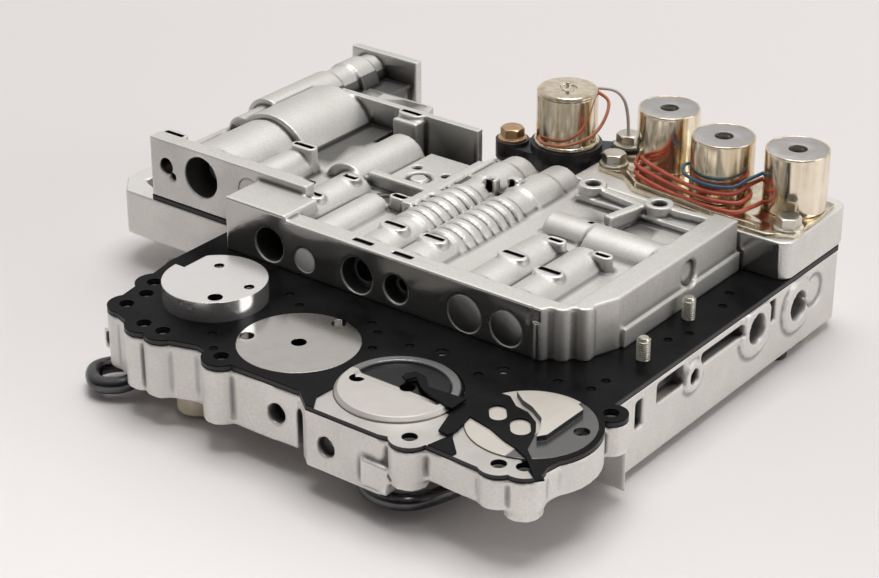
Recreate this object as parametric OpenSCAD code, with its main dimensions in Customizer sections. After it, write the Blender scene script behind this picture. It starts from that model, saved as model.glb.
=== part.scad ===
// Hydraulic valve body of an automatic gearbox: two castings with a separator plate between them,
// spool valves, accumulators and solenoids. Millimetres, +Z up, centred over the surface it stands on.
// Inside the modules x = 0 is the plate's right edge, y = 0 the front face and z = 0 the plate's top.

/* [Castings] */
// Height of the main upper casting above the plate
upper_h = 24; // [22:0.5:28]
// Height of the left part of the upper casting
left_h = 30; // [28:0.5:34]
// Height of the floor between the bosses
valley_h = 17; // [16:0.5:19]
// Height of the lower casting below its gasket
lower_h = 34.7; // [34:0.1:40]
// Depth of the lower casting's front left rim
rim_left_h = 25.5; // [22:0.5:26]
// Depth of the lower casting's front right flange
rim_right_h = 14; // [13:0.5:16]
// Height of the block under the shift solenoids
block_h = 18; // [16:0.5:22]
// Wall left round a chamber or above a bore
wall = 3; // [2:0.5:4]

/* [Plate stack] */
// Thickness of the upper gasket
gasket_t = 0.6; // [0.4:0.1:1]
// Thickness of the steel separator plate
plate_t = 1.6; // [1.2:0.1:2.4]
// Diameter of the bolt holes in the rim
rim_hole_d = 6.5; // [5.5:0.5:7]
// Radius of the rim's bolt lobes
lobe_r = 8.5; // [7.5:0.5:9.5]
// Diameter of the two case bolt holes
case_hole_d = 7; // [6:0.5:8]

/* [Spool valves] */
// Diameter of the spool bores
spool_bore_d = 12; // [10:0.5:13]
// Radial running clearance of sliding pieces
run_gap = 0.05; // [0.03:0.01:0.08]
// Length of a spool
spool_l = 38; // [32:1:42]
// Length of a valve spring at rest
valve_spring_l = 18; // [15:1:20]
// Depth at which the bore plugs end
plug_end = 40; // [38:1:42]
// Height of the bore axes above the plate
bore_z = 9.5; // [9:0.25:10]
// Diameter of the wide bore plugs
wide_plug_d = 17; // [15:0.5:17.5]
// Diameter of the two single bore plugs
single_plug_d = 16; // [14:0.5:17]
// Diameter of the narrow bore plugs
narrow_plug_d = 13; // [12.5:0.5:15]
// Wire thickness of the valve springs
valve_wire_d = 1.2; // [1:0.1:1.6]
// Diameter of the manual valve's bore
manual_bore_d = 20; // [16:0.5:21]
// Height of the manual valve's axis above the plate
manual_z = 17; // [16:0.25:18]
// Length of the manual valve
manual_l = 62; // [50:1:66]
// Width of a keeper plate
keeper_w = 9.6; // [8:0.2:10]
// Thickness of a keeper plate
keeper_t = 1.8; // [1.4:0.1:2]

/* [Accumulators] */
// Diameter of the flush accumulator covers
cover_d = 52.5; // [50:0.5:54]
// Depth to which the flush covers sink into the lower casting
cover_ledge = 0.6; // [0.4:0.1:1.5]
// Diameter of the raised cover
puck_d = 46; // [44:0.5:48]
// Height of the raised cover
puck_h = 9.5; // [8:0.5:12]
// Diameter of the accumulator pistons
piston_d = 38; // [34:0.5:40]
// Height of an accumulator piston
piston_h = 7; // [6:0.5:8]
// Travel of an accumulator piston
piston_travel = 4; // [3:0.5:4.5]
// Wire thickness of the accumulator springs
piston_wire_d = 1.8; // [1.4:0.1:2.2]

/* [Solenoids] */
// Diameter of the solenoid cans
can_d = 29; // [26:0.5:30]
// Height of a shift solenoid can
can_h = 28; // [24:0.5:32]
// Diameter of the hole in a can's end cap
cap_hole_d = 8.5; // [7:0.5:9.5]
// Diameter of a solenoid plunger
plunger_d = 10; // [9:0.5:12]
// Thickness of the gold bracket
bracket_t = 2; // [1.5:0.25:3]
// Height of the line solenoid's black base
base_h = 11; // [9:0.5:13]
// Height of the line solenoid can
line_can_h = 25; // [22:0.5:28]
// Thickness of a lead's insulation
lead_d = 2; // [1.6:0.1:2.2]

/* [Fasteners and tubes] */
// Thread diameter of studs and bolts
thread_d = 6; // [5:0.5:6]
// Width across the flats of a hexagon head
hex_af = 10; // [9:0.5:11]
// Height of a hexagon head
hex_h = 4.5; // [4:0.25:5.5]
// Height of the two studs above the plate
stud_h = 10; // [8:0.5:14]
// Outer diameter of the oil tubes
tube_d = 9; // [8:0.5:9.5]
// Diameter of the lower solenoid can
low_can_d = 19; // [16:0.5:21]

/* [Hidden] */
$fn = 48;
// plan limits of the whole part
left_x = -312;
back_y = 180;
// levels of the stack, from the plate's top downwards
plate_z = -gasket_t - plate_t;
low_top = plate_z - gasket_t;
low_bot = low_top - lower_h;
floor_z = low_bot - hex_h;
rim_low = low_top - rim_left_h;
cover_t = cover_ledge - low_top;
// accumulators: centre x, y and height of the cover's underside
acc_x = -75;
left_cover_x = acc_x - cover_d - 5;
accs = [[left_cover_x - cover_d / 2 - 28.25, -39, 0], [left_cover_x, -47.5, -cover_t],
  [acc_x, -53, -cover_t], [acc_x + cover_d + 5.5, -43, -cover_t]];
last_x = accs[3][0];
neck_x = (acc_x + last_x) / 2;
// rim holes that carry a lobe
lobes = [[-219, -44], [-214, -66], [-195.5, -74.5], [-184.5, -74.5], [-150, -76],
  [neck_x - 3, -79], [last_x + 7, -74], [last_x + 16, -70]];
rim_holes = concat(lobes, [[-214, -54], [3, -17]]);
right_x = accs[3][0] + cover_d / 2 + 2.5;
front_y = lobes[5][1] - lobe_r;
shift = [-(left_x + right_x) / 2, -(front_y + back_y) / 2, -floor_z];
cap_t = 1.6;
strap_t = 0.8;
cover_ring = 1.5;
hex_r = hex_af / sqrt(3);
seat = 0.3;
// spool bores: x, plug diameter, plug start, keeper depths
lines = [
  [-190.5, single_plug_d, 31.2, [30]],
  [-140.5, wide_plug_d, 6.2, [5, 27]],
  [-119, narrow_plug_d, 6.2, [5, 27]],
  [-82.5, wide_plug_d, seat, [35]],
  [-61, single_plug_d, seat, [31]]
];
blanks = [[-170, 0, bore_z - 1.5, 11], [-222, 22.5, manual_z + 1, 13]];
blank_l = 14;
manual_x = -252;
spring_end = plug_end + valve_spring_l;
spool_end = spring_end + spool_l;
bore_end = spool_end + 2 * seat;
left_y = 22.5;
manual_y = left_y + 12;
manual_end = manual_y + manual_l + 16;
manual_top = manual_z + manual_bore_d / 2 + wall;
chamber_d = piston_d + 2 * run_gap;
piston_cup = piston_h - 3;
function piston_top(i) = accs[i][2] - seat;
function chamber_floor(i) = piston_top(i) - piston_h - piston_travel - piston_wire_d;
case_holes = [[-95.5, 114], [-60, 114]];
fork = [-67, 110];
case_ribs = [[case_holes[0], fork], [fork, case_holes[1]], [case_holes[1], [-34, 117]], [fork, [-71, 92]]];
// long bolts from below whose thread stands out of the plate
through_at = [[-11.5, 28], [-16, 70]];
// screws that hold the halves together from below
screws_at = [[-8, 152], [-120, 140], [-222, 92], [-206, 40], [-155.5, 22]];
screw_grip = 7;
// shift solenoids, line solenoid, their fasteners
cans_at = [[-87, 163], [-50, 150], [-16.5, 157.5]];
can_z = block_h + bracket_t;
line_at = [-135, 150];
line_block_h = block_h - 6;
line_z = line_block_h + base_h;
ear_bolt = [-160, 141];
ear_nut = [-112, 168];
bracket_bolts_at = [[-7, 136], [-106, 147]];
// rolled lip along the bracket's front edge
lip_at = [[-93, 139], [-83, 131.3], [-40, 126.4], [-18, 126.1]];
lip_h = 2.5;
lip_t = 1.8;
low_can_at = [-178, -62];

cast_c = [0.80, 0.79, 0.77];
steel_c = [0.72, 0.72, 0.72];
black_c = [0.06, 0.06, 0.07];
zinc_c = [0.78, 0.67, 0.42];

// Basic forms

module rod_y(x, z, y0, y1, d) {
  translate([x, y0, z])
    rotate([-90, 0, 0])
      cylinder(d = d, h = y1 - y0);
}

module rod_x(y, z, x0, x1, d) {
  translate([x0, y, z])
    rotate([0, 90, 0])
      cylinder(d = d, h = x1 - x0);
}

module hex_head(h) {
  cylinder(r = hex_r, h = h, $fn = 6);
}

module box(x0, x1, y0, y1, z0, z1) {
  translate([x0, y0, z0])
    cube([x1 - x0, y1 - y0, z1 - z0]);
}

// Slot with round ends, length along X
module slot_2d(l, w) {
  square([l - w, w], center = true);
  for (s = [-1, 1])
    translate([s * (l - w) / 2, 0])
      circle(d = w);
}

// Swept tubes

function unit(v) = v / norm(v);
function tangent(p, i) = unit(p[min(i + 1, len(p) - 1)] - p[max(i - 1, 0)]);
function ring(p, i, r, n, ref) =
  let (t = tangent(p, i), a = unit(cross(t, ref)), b = cross(a, t))
  [for (k = [0:n - 1]) p[i] + r * (cos(k * 360 / n) * a + sin(k * 360 / n) * b)];

module sweep(p, d, n, ref = [0, 0, 1]) {
  m = len(p);
  polyhedron(
    points = [for (i = [0:m - 1]) each ring(p, i, d / 2, n, ref)],
    faces = concat(
      [[for (k = [0:n - 1]) k]],
      [for (i = [0:m - 2]) for (k = [0:n - 1])
        each [[i * n + k, (i + 1) * n + k, (i + 1) * n + (k + 1) % n],
          [i * n + k, (i + 1) * n + (k + 1) % n, i * n + (k + 1) % n]]],
      [[for (k = [n - 1:-1:0]) (m - 1) * n + k]]
    )
  );
}

// Smooth route through hand-chosen points, with steps between each pair
function curve_at(p, i, t) =
  let (a = p[max(i - 1, 0)], b = p[i], c = p[i + 1], d = p[min(i + 2, len(p) - 1)])
  0.5 * (2 * b + (c - a) * t + (2 * a - 5 * b + 4 * c - d) * t * t + (3 * b - a - 3 * c + d) * t * t * t);
function route(p, n) = concat(
  [for (i = [0:len(p) - 2]) for (k = [0:n - 1]) curve_at(p, i, k / n)], [p[len(p) - 1]]);

// Helix from z = 0 to z = l, wire centre inside both ends
function helix(r, l, wire, turns) =
  [for (k = [0:turns * 8])
    [r * cos(k * 45), r * sin(k * 45), wire / 2 + (l - wire) * k / (turns * 8)]];

module coil(d, l, wire, turns) {
  sweep(helix((d - wire) / 2, l, wire, turns), wire, 5);
}

// Outlines

module plate_2d() {
  polygon([[-284, left_y], [-228, left_y], [-228, -24], [-224, -44], [-221, -62], [-212, -74], [-196, -80],
    [-178, -79], [-165, -75], [-141, -79], [-106, -78], [-97, -85],
    [neck_x - 14, -85], [neck_x + 6, -80], [last_x + 7, -81], [last_x + 23, -68], [last_x + 26, -46],
    [last_x + 21, -24], [0, -10], [0, 172], [-8, back_y], [-112, back_y], [-160, 164],
    [-168, 130], [-205, 134], [-212, 150], [-246, 150], [-246, 176], [-284, 176]]);
  for (h = lobes)
    translate(h)
      circle(r = lobe_r);
  translate([3, -17])
    circle(r = lobe_r - 1.5);
  translate([accs[3][0], accs[3][1]])
    circle(d = cover_d + 5);
}

module rim_holes_2d() {
  for (h = rim_holes)
    translate(h)
      circle(d = rim_hole_d);
  for (h = case_holes)
    translate(h)
      circle(d = case_hole_d);
}

module screws_2d(d) {
  for (h = screws_at)
    translate(h)
      circle(d = d);
}

module chambers_2d(d_open) {
  for (i = [1:3])
    translate([accs[i][0], accs[i][1]])
      circle(d = d_open);
  translate([accs[0][0], accs[0][1]])
    circle(d = chamber_d + 1);
}

// Small oil holes in the plate
module ports_2d() {
  for (h = [[-166, -64], [-157, -73], [-164, -17], [-154, -22], [-119, -16], [-112, -21], [-105, -33],
    [-94, -22], [-57, -24], [-28, -9], [-14, -6], [-13, 3], [-12, 48], [-8, 58], [-10, 88], [-14, 100]])
    translate(h)
      circle(d = 4);
  for (h = [[-80, -18], [-51, -15]])
    translate(h)
      circle(d = 6);
}

// Bright steel left bare by the upper gasket beside the right-hand covers
module bare_2d() {
  translate([neck_x, 0])
    polygon([[-50, -58], [1, -56], [5, -67], [9, -70], [7, -79], [2, -92], [-42, -92], [-51, -78]]);
  translate([last_x, 0])
    polygon([[-25, -58], [-13, -56], [5, -62], [24, -75], [25, -92], [-11, -92], [-10, -78], [-18, -70]]);
}

// Castings

module boss_y(x, r, y0, y1, top) {
  rod_y(x, top - r, y0, y1, 2 * r);
}

module strip_2d(a, b, w) {
  translate(a)
    rotate(atan2(b[1] - a[1], b[0] - a[0]))
      translate([-w / 2, -w / 2])
        square([norm(b - a) + w, w]);
}

module pad(x, y, l, w, top) {
  translate([x, y, valley_h])
    linear_extrude(top - valley_h)
      slot_2d(l, w);
}

module upper_main_2d() {
  polygon([[-216, 0], [-50, 0], [-38, 5], [-29, 14], [-24, 28], [-24, 122], [-150, 122], [-150, 105],
    [-216, 105]]);
  for (c = [[-46, 3.4], [-38.5, 8], [-31.5, 14]])
    translate(c)
      circle(r = 4);
}

module upper_left_2d() {
  polygon([[-284, left_y], [-188, left_y], [-188, 105], [-216, 105], [-216, 120], [-165, 120], [-165, 124],
    [-205, 124], [-212, 147], [-246, 147], [-246, 171], [-242, 171], [-242, 176], [-284, 176]]);
}

module upper_casting() {
  // main floor, stepped foot along the right wall, walls round the edge
  linear_extrude(valley_h)
    upper_main_2d();
  box(-30, -22, 30, 122, 0, 9);
  linear_extrude(upper_h)
    intersection() {
      upper_main_2d();
      union() {
        translate([-216, 0])
          square([192, 10]);
        translate([-36, 0])
          square([12, 122]);
        translate([-153, 47])
          square([5, 66]);
        translate([-185, 63])
          square([48, 4.5]);
        // forked ribs that join the case bolt bosses
        for (r = case_ribs)
          strip_2d(r[0], r[1], 4.5);
      }
    }
  linear_extrude(upper_h - 4)
    intersection() {
      upper_main_2d();
      union() {
        translate([-101, 107])
          square([77, 15]);
        translate([-181, 69])
          square([27, 36]);
      }
    }
  box(-216, -181, 0, left_y, 0, upper_h + 2);
  // valve bosses with ribs on the two long ones
  for (l = lines)
    boss_y(l[0], wide_plug_d / 2 + wall + 1, 0, 60, upper_h - 0.5);
  for (i = [1, 2]) {
    boss_y(lines[i][0], narrow_plug_d / 2 + wall + 2, 59, 118 + 3 * i, upper_h - 0.5);
    for (k = [0:5 + i]) {
      y = 44 + 6 * (k - i);
      boss_y(lines[i][0], narrow_plug_d / 2 + wall + 3.2, y, y + 4.2, upper_h + 0.7);
    }
    boss_y(lines[i][0], narrow_plug_d / 2 + wall + 3, 90, 110, upper_h + 0.5);
  }
  // posts between the two long bosses
  box(-136.5, -130.5, 86.5, 91.5, 0, upper_h + 2);
  box(-128, -122, 92.5, 97.5, 0, upper_h + 2);
  boss_y(blanks[0][0], blanks[0][3] / 2 + wall + 2, 0, 50, upper_h - 2);
  rod_x(78.5, upper_h - 13, -71, -24, 26);
  rod_x(80, upper_h - 10.5, -94, -65, 20);
  // pads that the keeper slots are cut in
  for (l = lines)
    for (k = l[3])
      pad(l[0], k - 1, keeper_w + 5, 7, upper_h);
  for (p = [[-188, 54], [-157, 51], [-76, 57], [-52, 57]])
    pad(p[0], p[1], 10, 6, upper_h);
  for (h = case_holes)
    translate(h)
      cylinder(d = case_hole_d + 6, h = upper_h + 1);
  // left part: floor, front wall, manual valve's bosses, rear walls
  linear_extrude(valley_h)
    upper_left_2d();
  box(-284, -188, left_y, left_y + 8, 0, left_h);
  boss_y(manual_x, 21, left_y, 70, manual_top);
  boss_y(manual_x, 25, 72, 120, manual_top + 2);
  boss_y(manual_x, 17, 66, 76, manual_top - 1);
  // stepped boss behind the manual valve's
  boss_y(-271, 9, 72, 92, left_h - 4);
  boss_y(-271, 13, 90, 137, left_h - 0.5);
  boss_y(-271, 10, 136, 151, left_h - 1.5);
  boss_y(-271, 12, 150, 163, left_h - 0.5);
  boss_y(-271, 9.5, 162, 173, left_h - 2);
  boss_y(blanks[1][0], blanks[1][3] / 2 + wall, left_y, 62, left_h - 2);
  box(-284, -242, 171, 176, 0, left_h);
  box(-250, -165, 120, 124, 0, left_h);
  linear_extrude(left_h - 8)
    polygon([[-252, 120], [-205, 120], [-205, 126], [-212, 147], [-252, 147]]);
  box(-210, -196, 112, 122, 0, left_h - 2);
  boss_y(-196, 13, 60, 104, upper_h + 2);
  for (p = [[-276, 31.5], [-219, 58]])
    pad(p[0], p[1], 14, 7, left_h);
  pad(-204, 119.5, 14, 8, left_h);
}

module keeper_slot(x, y, l, z0, z1) {
  translate([x, y, (z0 + z1) / 2])
    cube([l, keeper_t + 0.4, z1 - z0], center = true);
}

module upper_body() {
  color(cast_c)
    difference() {
      upper_casting();
      // flat seat on the gasket
      box(left_x, right_x, front_y, back_y, -left_h, 0);
      for (l = lines) {
        rod_y(l[0], bore_z, -1, plug_end, l[1] + 2 * run_gap);
        rod_y(l[0], bore_z, plug_end - 1, bore_end, spool_bore_d + 2 * run_gap);
        for (k = l[3])
          keeper_slot(l[0], k, keeper_w + 0.6, bore_z, upper_h + 5);
      }
      for (b = blanks)
        rod_y(b[0], b[2], b[1] - 1, b[1] + blank_l, b[3] + 2 * run_gap);
      rod_y(manual_x, manual_z, left_y - 1, manual_end, manual_bore_d + 2 * run_gap);
      rod_y(-274, 17, left_y - 1, left_y + 20, 8);
      rod_y(-270, 12.5, left_y - 1, left_y + 10, 4);
      // empty keeper slots of the plain bores
      for (s = [[-188, 54, 6], [-157, 51, 6], [-76, 57, 6], [-52, 57, 6]])
        keeper_slot(s[0], s[1], s[2], upper_h - 4, upper_h + 5);
      translate([-74.5, 86, upper_h])
        cube([2, 10, 6], center = true);
      for (s = [[-276, 31.5], [-219, 58], [-204, 119.5]])
        keeper_slot(s[0], s[1], 10, left_h - 5, left_h + 5);
      // round plug seat on the right wall, oil holes in the top
      rod_x(82, 14, -26, -21, 12);
      for (h = [[-176, 88], [-159.5, 88]])
        translate([h[0], h[1], upper_h - 8])
          cylinder(d = 4.5, h = 20);
      for (h = [[-168, 79, upper_h - 4], [-168.5, 55, valley_h]])
        translate([h[0], h[1], h[2] - 1.5])
          difference() {
            cylinder(d = 13, h = 3);
            cylinder(d = 8, h = 3);
          }
      // open end of the cross boss, dark slots of the posts
      rod_x(80, upper_h - 10.5, -96, -88, 9);
      for (q = [[-133.5, 86.5], [-125, 92.5]])
        box(q[0] - 1.2, q[0] + 1.2, q[1] - 1, q[1] + 2, upper_h - 4, upper_h + 0.8);
      for (h = case_holes)
        translate([h[0], h[1], -1])
          cylinder(d = case_hole_d, h = upper_h + 10);
      for (h = screws_at)
        translate([h[0], h[1], -1])
          cylinder(d = thread_d + 2 * run_gap, h = screw_grip + 2);
    }
}

module lower_zone(x0, x1, y0, y1, depth) {
  translate([0, 0, low_top - depth])
    linear_extrude(depth)
      intersection() {
        plate_2d();
        translate([x0, y0])
          square([x1 - x0, y1 - y0]);
      }
}

module lower_casting() {
  lower_zone(-300, -57, -100, 0, rim_left_h);
  lower_zone(-58, 20, -100, 0, rim_right_h);
  lower_zone(-228, 20, -12, 200, lower_h);
  lower_zone(-300, -220, 20, 200, rim_left_h - 4);
  // tall bolt bosses on the shallow flange
  for (h = [lobes[5], lobes[7]])
    translate([h[0], h[1], low_top - rim_right_h - 4])
      cylinder(r = lobe_r - 0.7, h = rim_right_h + 1);
  box(-68, -55, front_y + 0.7, -80, low_top - 22.5, low_top - 11);
  for (i = [2, 3])
    translate([accs[i][0], accs[i][1], chamber_floor(i) - wall])
      cylinder(d = chamber_d + 2 * wall, h = low_top - chamber_floor(i));
  // left wing
  translate([0, 0, rim_low + 3])
    linear_extrude(rim_left_h - 3)
      polygon([[-302, left_y], [-236, left_y], [-228, 30], [-228, 120], [-284, 120], [-304, 60], [left_x, 52],
        [left_x, 34]]);
  // open lug on the left end of the rim
  box(-231, -216, -65, -54, rim_low + 1, rim_low + 11);
  // ring bosses on the right wall
  for (b = [[49, -13.5, 9], [100, -12.5, 21], [136, -16, 20]])
    rod_x(b[0], b[1], -8, 1.5, b[2] + 4);
}

module lower_body() {
  color(cast_c)
    difference() {
      lower_casting();
      for (i = [0:3])
        translate([accs[i][0], accs[i][1], chamber_floor(i)])
          cylinder(d = chamber_d, h = 40);
      for (i = [1:3])
        translate([accs[i][0], accs[i][1], -cover_t])
          cylinder(d = cover_d + 2 * seat, h = 40);
      translate([0, 0, low_bot - 1])
        linear_extrude(lower_h + 10)
          rim_holes_2d();
      translate([0, 0, low_bot - 1])
        linear_extrude(lower_h + 10)
          screws_2d(thread_d + 1);
      for (h = through_at)
        translate([h[0], h[1], low_bot - 1])
          cylinder(d = thread_d + 1, h = lower_h + 10);
      // flat top under the gasket
      box(left_x - 1, right_x + 1, front_y - 1, back_y + 1, low_top, low_top + 20);
      // bores and pockets of the right wall
      rod_x(49, -13.5, -14, 5, 7);
      rod_x(100, -12.5, -16, 5, 14);
      rod_x(136, -16, -20, 5, 14);
      rod_x(152, -15, -1.2, 5, 18);
      box(-7, 5, 6, 12, -20, -7);
      box(-7, 5, 22, 43, -15, -5.5);
      box(-6, 5, 56, 90, -12, -6.5);
      box(-9, 5, 111, 118, -16, -5);
      box(-12, 5, -8.5, -2, low_bot - 1, -19);
      box(-229.5, -222, -70, -57, rim_low + 2.5, rim_low + 9.5);
      // bores of the front wall
      rod_y(-119, -15.5, -85, -70, 9);
      rod_y(-87, -16.5, -90, -80, 9);
      box(-108, -102, -90, -70, low_bot, -9);
      // open tray of the left wing, hollow underside
      translate([0, 0, low_top - 9])
        linear_extrude(20)
          polygon([[-302, 36], [-287, 30], [-287, 52], [-300, 52]]);
      box(-196, -28, 34, 128, low_bot - 1, low_bot + 12);
    }
}

module stack_layer(z, t) {
  translate([0, 0, z])
    linear_extrude(t)
      difference() {
        plate_2d();
        rim_holes_2d();
        chambers_2d(cover_d + 2 * seat);
        screws_2d(thread_d + 1);
        for (h = through_at)
          translate(h)
            circle(d = thread_d + 2 * run_gap);
        children();
      }
}

module lower_gasket() {
  color(black_c)
    stack_layer(low_top, gasket_t)
      ports_2d();
}

module separator_plate() {
  color(steel_c)
    stack_layer(plate_z, plate_t)
      ports_2d();
}

module upper_gasket() {
  color(black_c)
    stack_layer(-gasket_t, gasket_t) {
      ports_2d();
      bare_2d();
    }
}

module solenoid_block() {
  color(cast_c)
    difference() {
      union() {
        linear_extrude(block_h) {
          polygon([[-116, 127], [-40, 123.5], [-6, 123.5], [0, 129.5], [0, 172], [-8, back_y], [-101, back_y],
            [-101, 158], [-116, 148]]);
          translate([-6, 129.5])
            circle(r = 6);
          translate([-8, 172])
            circle(r = 8);
        }
        linear_extrude(line_block_h)
          polygon([[-100, back_y], [-100, 150], [-110, 140], [-110, 128], [-146, 126], [-164, 132],
            [-164, 150], [-150, 168], [-112, back_y]]);
      }
      for (h = bracket_bolts_at)
        translate([h[0], h[1], block_h - 10])
          cylinder(d = thread_d + 2 * run_gap, h = 20);
      for (h = [ear_bolt, ear_nut])
        translate([h[0], h[1], line_block_h - 8])
          cylinder(d = thread_d + 2 * run_gap, h = 12);
      for (h = screws_at)
        translate([h[0], h[1], -1])
          cylinder(d = thread_d + 2 * run_gap, h = screw_grip + 2);
    }
}

// Accumulators

module cover_holes(at, list, d) {
  for (h = list)
    translate([at[0] + h[0], at[1] + h[1], -10])
      cylinder(d = d, h = 30);
}

module accumulator_cap() {
  color(steel_c)
    difference() {
      translate([accs[0][0], accs[0][1], 0])
        cylinder(d = puck_d, h = puck_h);
      // flat where the cap clears the tube beside it
      translate([accs[0][0] - puck_d / 2 - 1, accs[0][1], -1])
        cube([6, puck_d, puck_h + 2]);
      translate([accs[0][0], accs[0][1], -1])
        cylinder(d = chamber_d - 6, h = puck_h - wall + 1);
      translate([accs[0][0], accs[0][1], -10])
        rotate(-47)
          translate([puck_d / 2 - 5.3, 0])
            cylinder(d = rim_hole_d, h = 30);
      for (a = [[124, 10.5], [10, 5.7]])
        translate([accs[0][0], accs[0][1], puck_h - 1.5])
          rotate(a[0])
            translate([puck_d / 2 - a[1], 0])
              cylinder(d = 4.5, h = 5);
    }
}

module accumulator_cover_left() {
  color(steel_c)
    difference() {
      translate([accs[1][0], accs[1][1], -cover_t])
        cylinder(d = cover_d, h = cover_t);
      cover_holes(accs[1], [[0, 0], [-21, -9], [2.5, 23]], rim_hole_d);
    }
}

module accumulator_cover_middle() {
  color(steel_c)
    difference() {
      translate([accs[2][0], accs[2][1], -cover_t]) {
        rotate_extrude()
          polygon([[0, 0], [cover_d / 2, 0], [cover_d / 2, cover_t],
            [cover_d / 2 - 1.5, cover_t + cover_ring], [cover_d / 2 - 4.5, cover_t + cover_ring],
            [cover_d / 2 - 6, cover_t], [0, cover_t]]);
        linear_extrude(cover_t + cover_ring)
          intersection() {
            circle(d = cover_d - 3);
            translate([-cover_d, -cover_d - 3])
              square([2 * cover_d, cover_d]);
          }
      }
      cover_holes(accs[2], [[-17.5, -5], [2, 3]], rim_hole_d);
    }
}

module accumulator_cover_right() {
  color(steel_c)
    difference() {
      translate([accs[3][0], accs[3][1], -cover_t]) {
        cylinder(d = cover_d, h = cover_t);
        linear_extrude(cover_t + 2.5)
          intersection() {
            circle(d = cover_d - 9);
            polygon([[-18, 14.5], [-11, 9.5], [-5, 7.5], [3, 2.5], [7, -4], [9.5, -10], [12, -6.5], [12, 23],
              [-18, 23]]);
          }
      }
      cover_holes(accs[3], [[19, 7]], rim_hole_d);
    }
}

module piston(i) {
  color(cast_c)
    translate([accs[i][0], accs[i][1], piston_top(i) - piston_h])
      difference() {
        cylinder(d = piston_d, h = piston_h);
        translate([0, 0, -1])
          cylinder(d = piston_d - 4 * wall, h = piston_cup + 1);
        // seal groove
        translate([0, 0, piston_h / 2 - 1])
          difference() {
            cylinder(d = piston_d + 1, h = 2);
            cylinder(d = piston_d - 2.4, h = 2);
          }
      }
}

module piston_spring(i) {
  color(steel_c)
    translate([accs[i][0], accs[i][1], chamber_floor(i)])
      coil(piston_d - 4 * wall - 1, piston_top(i) - piston_h + piston_cup - chamber_floor(i),
        piston_wire_d, 3);
}

// Spool valves

module spool(i) {
  color(steel_c)
    translate([lines[i][0], spring_end, bore_z])
      rotate([-90, 0, 0])
        rotate_extrude()
          polygon([[0, 0], [spool_bore_d / 2, 0], [spool_bore_d / 2, 9], [spool_bore_d / 2 - 2.5, 10],
            [spool_bore_d / 2 - 2.5, 16], [spool_bore_d / 2, 17], [spool_bore_d / 2, 24],
            [spool_bore_d / 2 - 2.5, 25], [spool_bore_d / 2 - 2.5, spool_l - 7],
            [spool_bore_d / 2, spool_l - 6],
            [spool_bore_d / 2, spool_l], [0, spool_l]]);
}

module valve_spring(i) {
  color(steel_c)
    translate([lines[i][0], plug_end, bore_z])
      rotate([-90, 0, 0])
        coil(spool_bore_d - 2, valve_spring_l, valve_wire_d, 5);
}

module manual_valve() {
  color(steel_c)
    translate([manual_x, manual_y, manual_z])
      rotate([-90, 0, 0])
        rotate_extrude()
          polygon([[0, 3], [3, 0], [manual_bore_d / 2 - 4, 0], [manual_bore_d / 2 - 4, 4], [4, 5], [4, 8],
            [manual_bore_d / 2, 9], [manual_bore_d / 2, 20], [manual_bore_d / 2 - 4, 21],
            [manual_bore_d / 2 - 4, 38], [manual_bore_d / 2, 39], [manual_bore_d / 2, manual_l],
            [0, manual_l]]);
}

// Plug in the bore of a line, grooved for its keepers
module line_plug(i, hollow_d) {
  color(steel_c)
    difference() {
      rod_y(lines[i][0], bore_z, lines[i][2], plug_end, lines[i][1]);
      for (k = lines[i][3])
        if (k > lines[i][2])
          difference() {
            rod_y(lines[i][0], bore_z, k - keeper_t / 2 - 0.3, k + keeper_t / 2 + 0.3, lines[i][1] + 1);
            rod_y(lines[i][0], bore_z, k - keeper_t, k + keeper_t, lines[i][1] - 5);
          }
      if (hollow_d > 0)
        rod_y(lines[i][0], bore_z, 0, plug_end - 6, hollow_d);
    }
}

module deep_plug() {
  line_plug(0, 0);
}

module hollow_plugs() {
  line_plug(1, wide_plug_d - 7);
  line_plug(2, narrow_plug_d - 7);
}

module flush_plugs() {
  line_plug(3, 0);
  line_plug(4, 0);
}

module blank_plugs() {
  color(steel_c)
    for (b = blanks)
      rod_y(b[0], b[2], b[1] + seat, b[1] + blank_l, b[3]);
}

module keeper_plates() {
  color(steel_c)
    for (l = lines)
      for (k = l[3])
        translate([l[0], k, 0])
          box(-keeper_w / 2, keeper_w / 2, -keeper_t / 2, keeper_t / 2, bore_z + l[1] / 2 - 2.2, upper_h - 1);
}

// Solenoids

module shift_solenoid(i) {
  color(zinc_c)
    translate([cans_at[i][0], cans_at[i][1], can_z])
      difference() {
        cylinder(d = can_d, h = can_h);
        translate([0, 0, can_h - cap_t])
          cylinder(d = can_d - 2, h = 5);
        translate([0, 0, wall])
          cylinder(d = plunger_d + 2 * run_gap, h = can_h);
      }
}

module solenoid_end_caps() {
  color([0.62, 0.61, 0.60])
    for (c = cans_at)
      translate([c[0], c[1], can_z + can_h - cap_t])
        difference() {
          cylinder(d = can_d - 2, h = cap_t - 0.2);
          translate([0, 0, -1])
            cylinder(d = cap_hole_d, h = 5);
        }
}

module plunger(i) {
  color(steel_c)
    translate([cans_at[i][0], cans_at[i][1], can_z + wall + seat])
      cylinder(d = plunger_d, h = can_h - wall - cap_t - seat - 2);
}

module line_solenoid_base() {
  color(black_c)
    difference() {
      union() {
        translate([line_at[0], line_at[1], line_block_h])
          cylinder(d = can_d + 5, h = base_h);
        for (h = [ear_bolt, ear_nut])
          translate([h[0], h[1], line_block_h])
            cylinder(d = hex_af + 6, h = base_h - 2);
        translate([0, 0, line_block_h])
          linear_extrude(base_h - 4)
            polygon([[-163, 134], [-135, 136], [-112, 161], [-114, 175], [-135, 164], [-160, 148]]);
      }
      for (h = [ear_bolt, ear_nut])
        translate([h[0], h[1], line_block_h - 1])
          cylinder(d = thread_d + 2 * run_gap, h = 20);
    }
}

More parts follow.
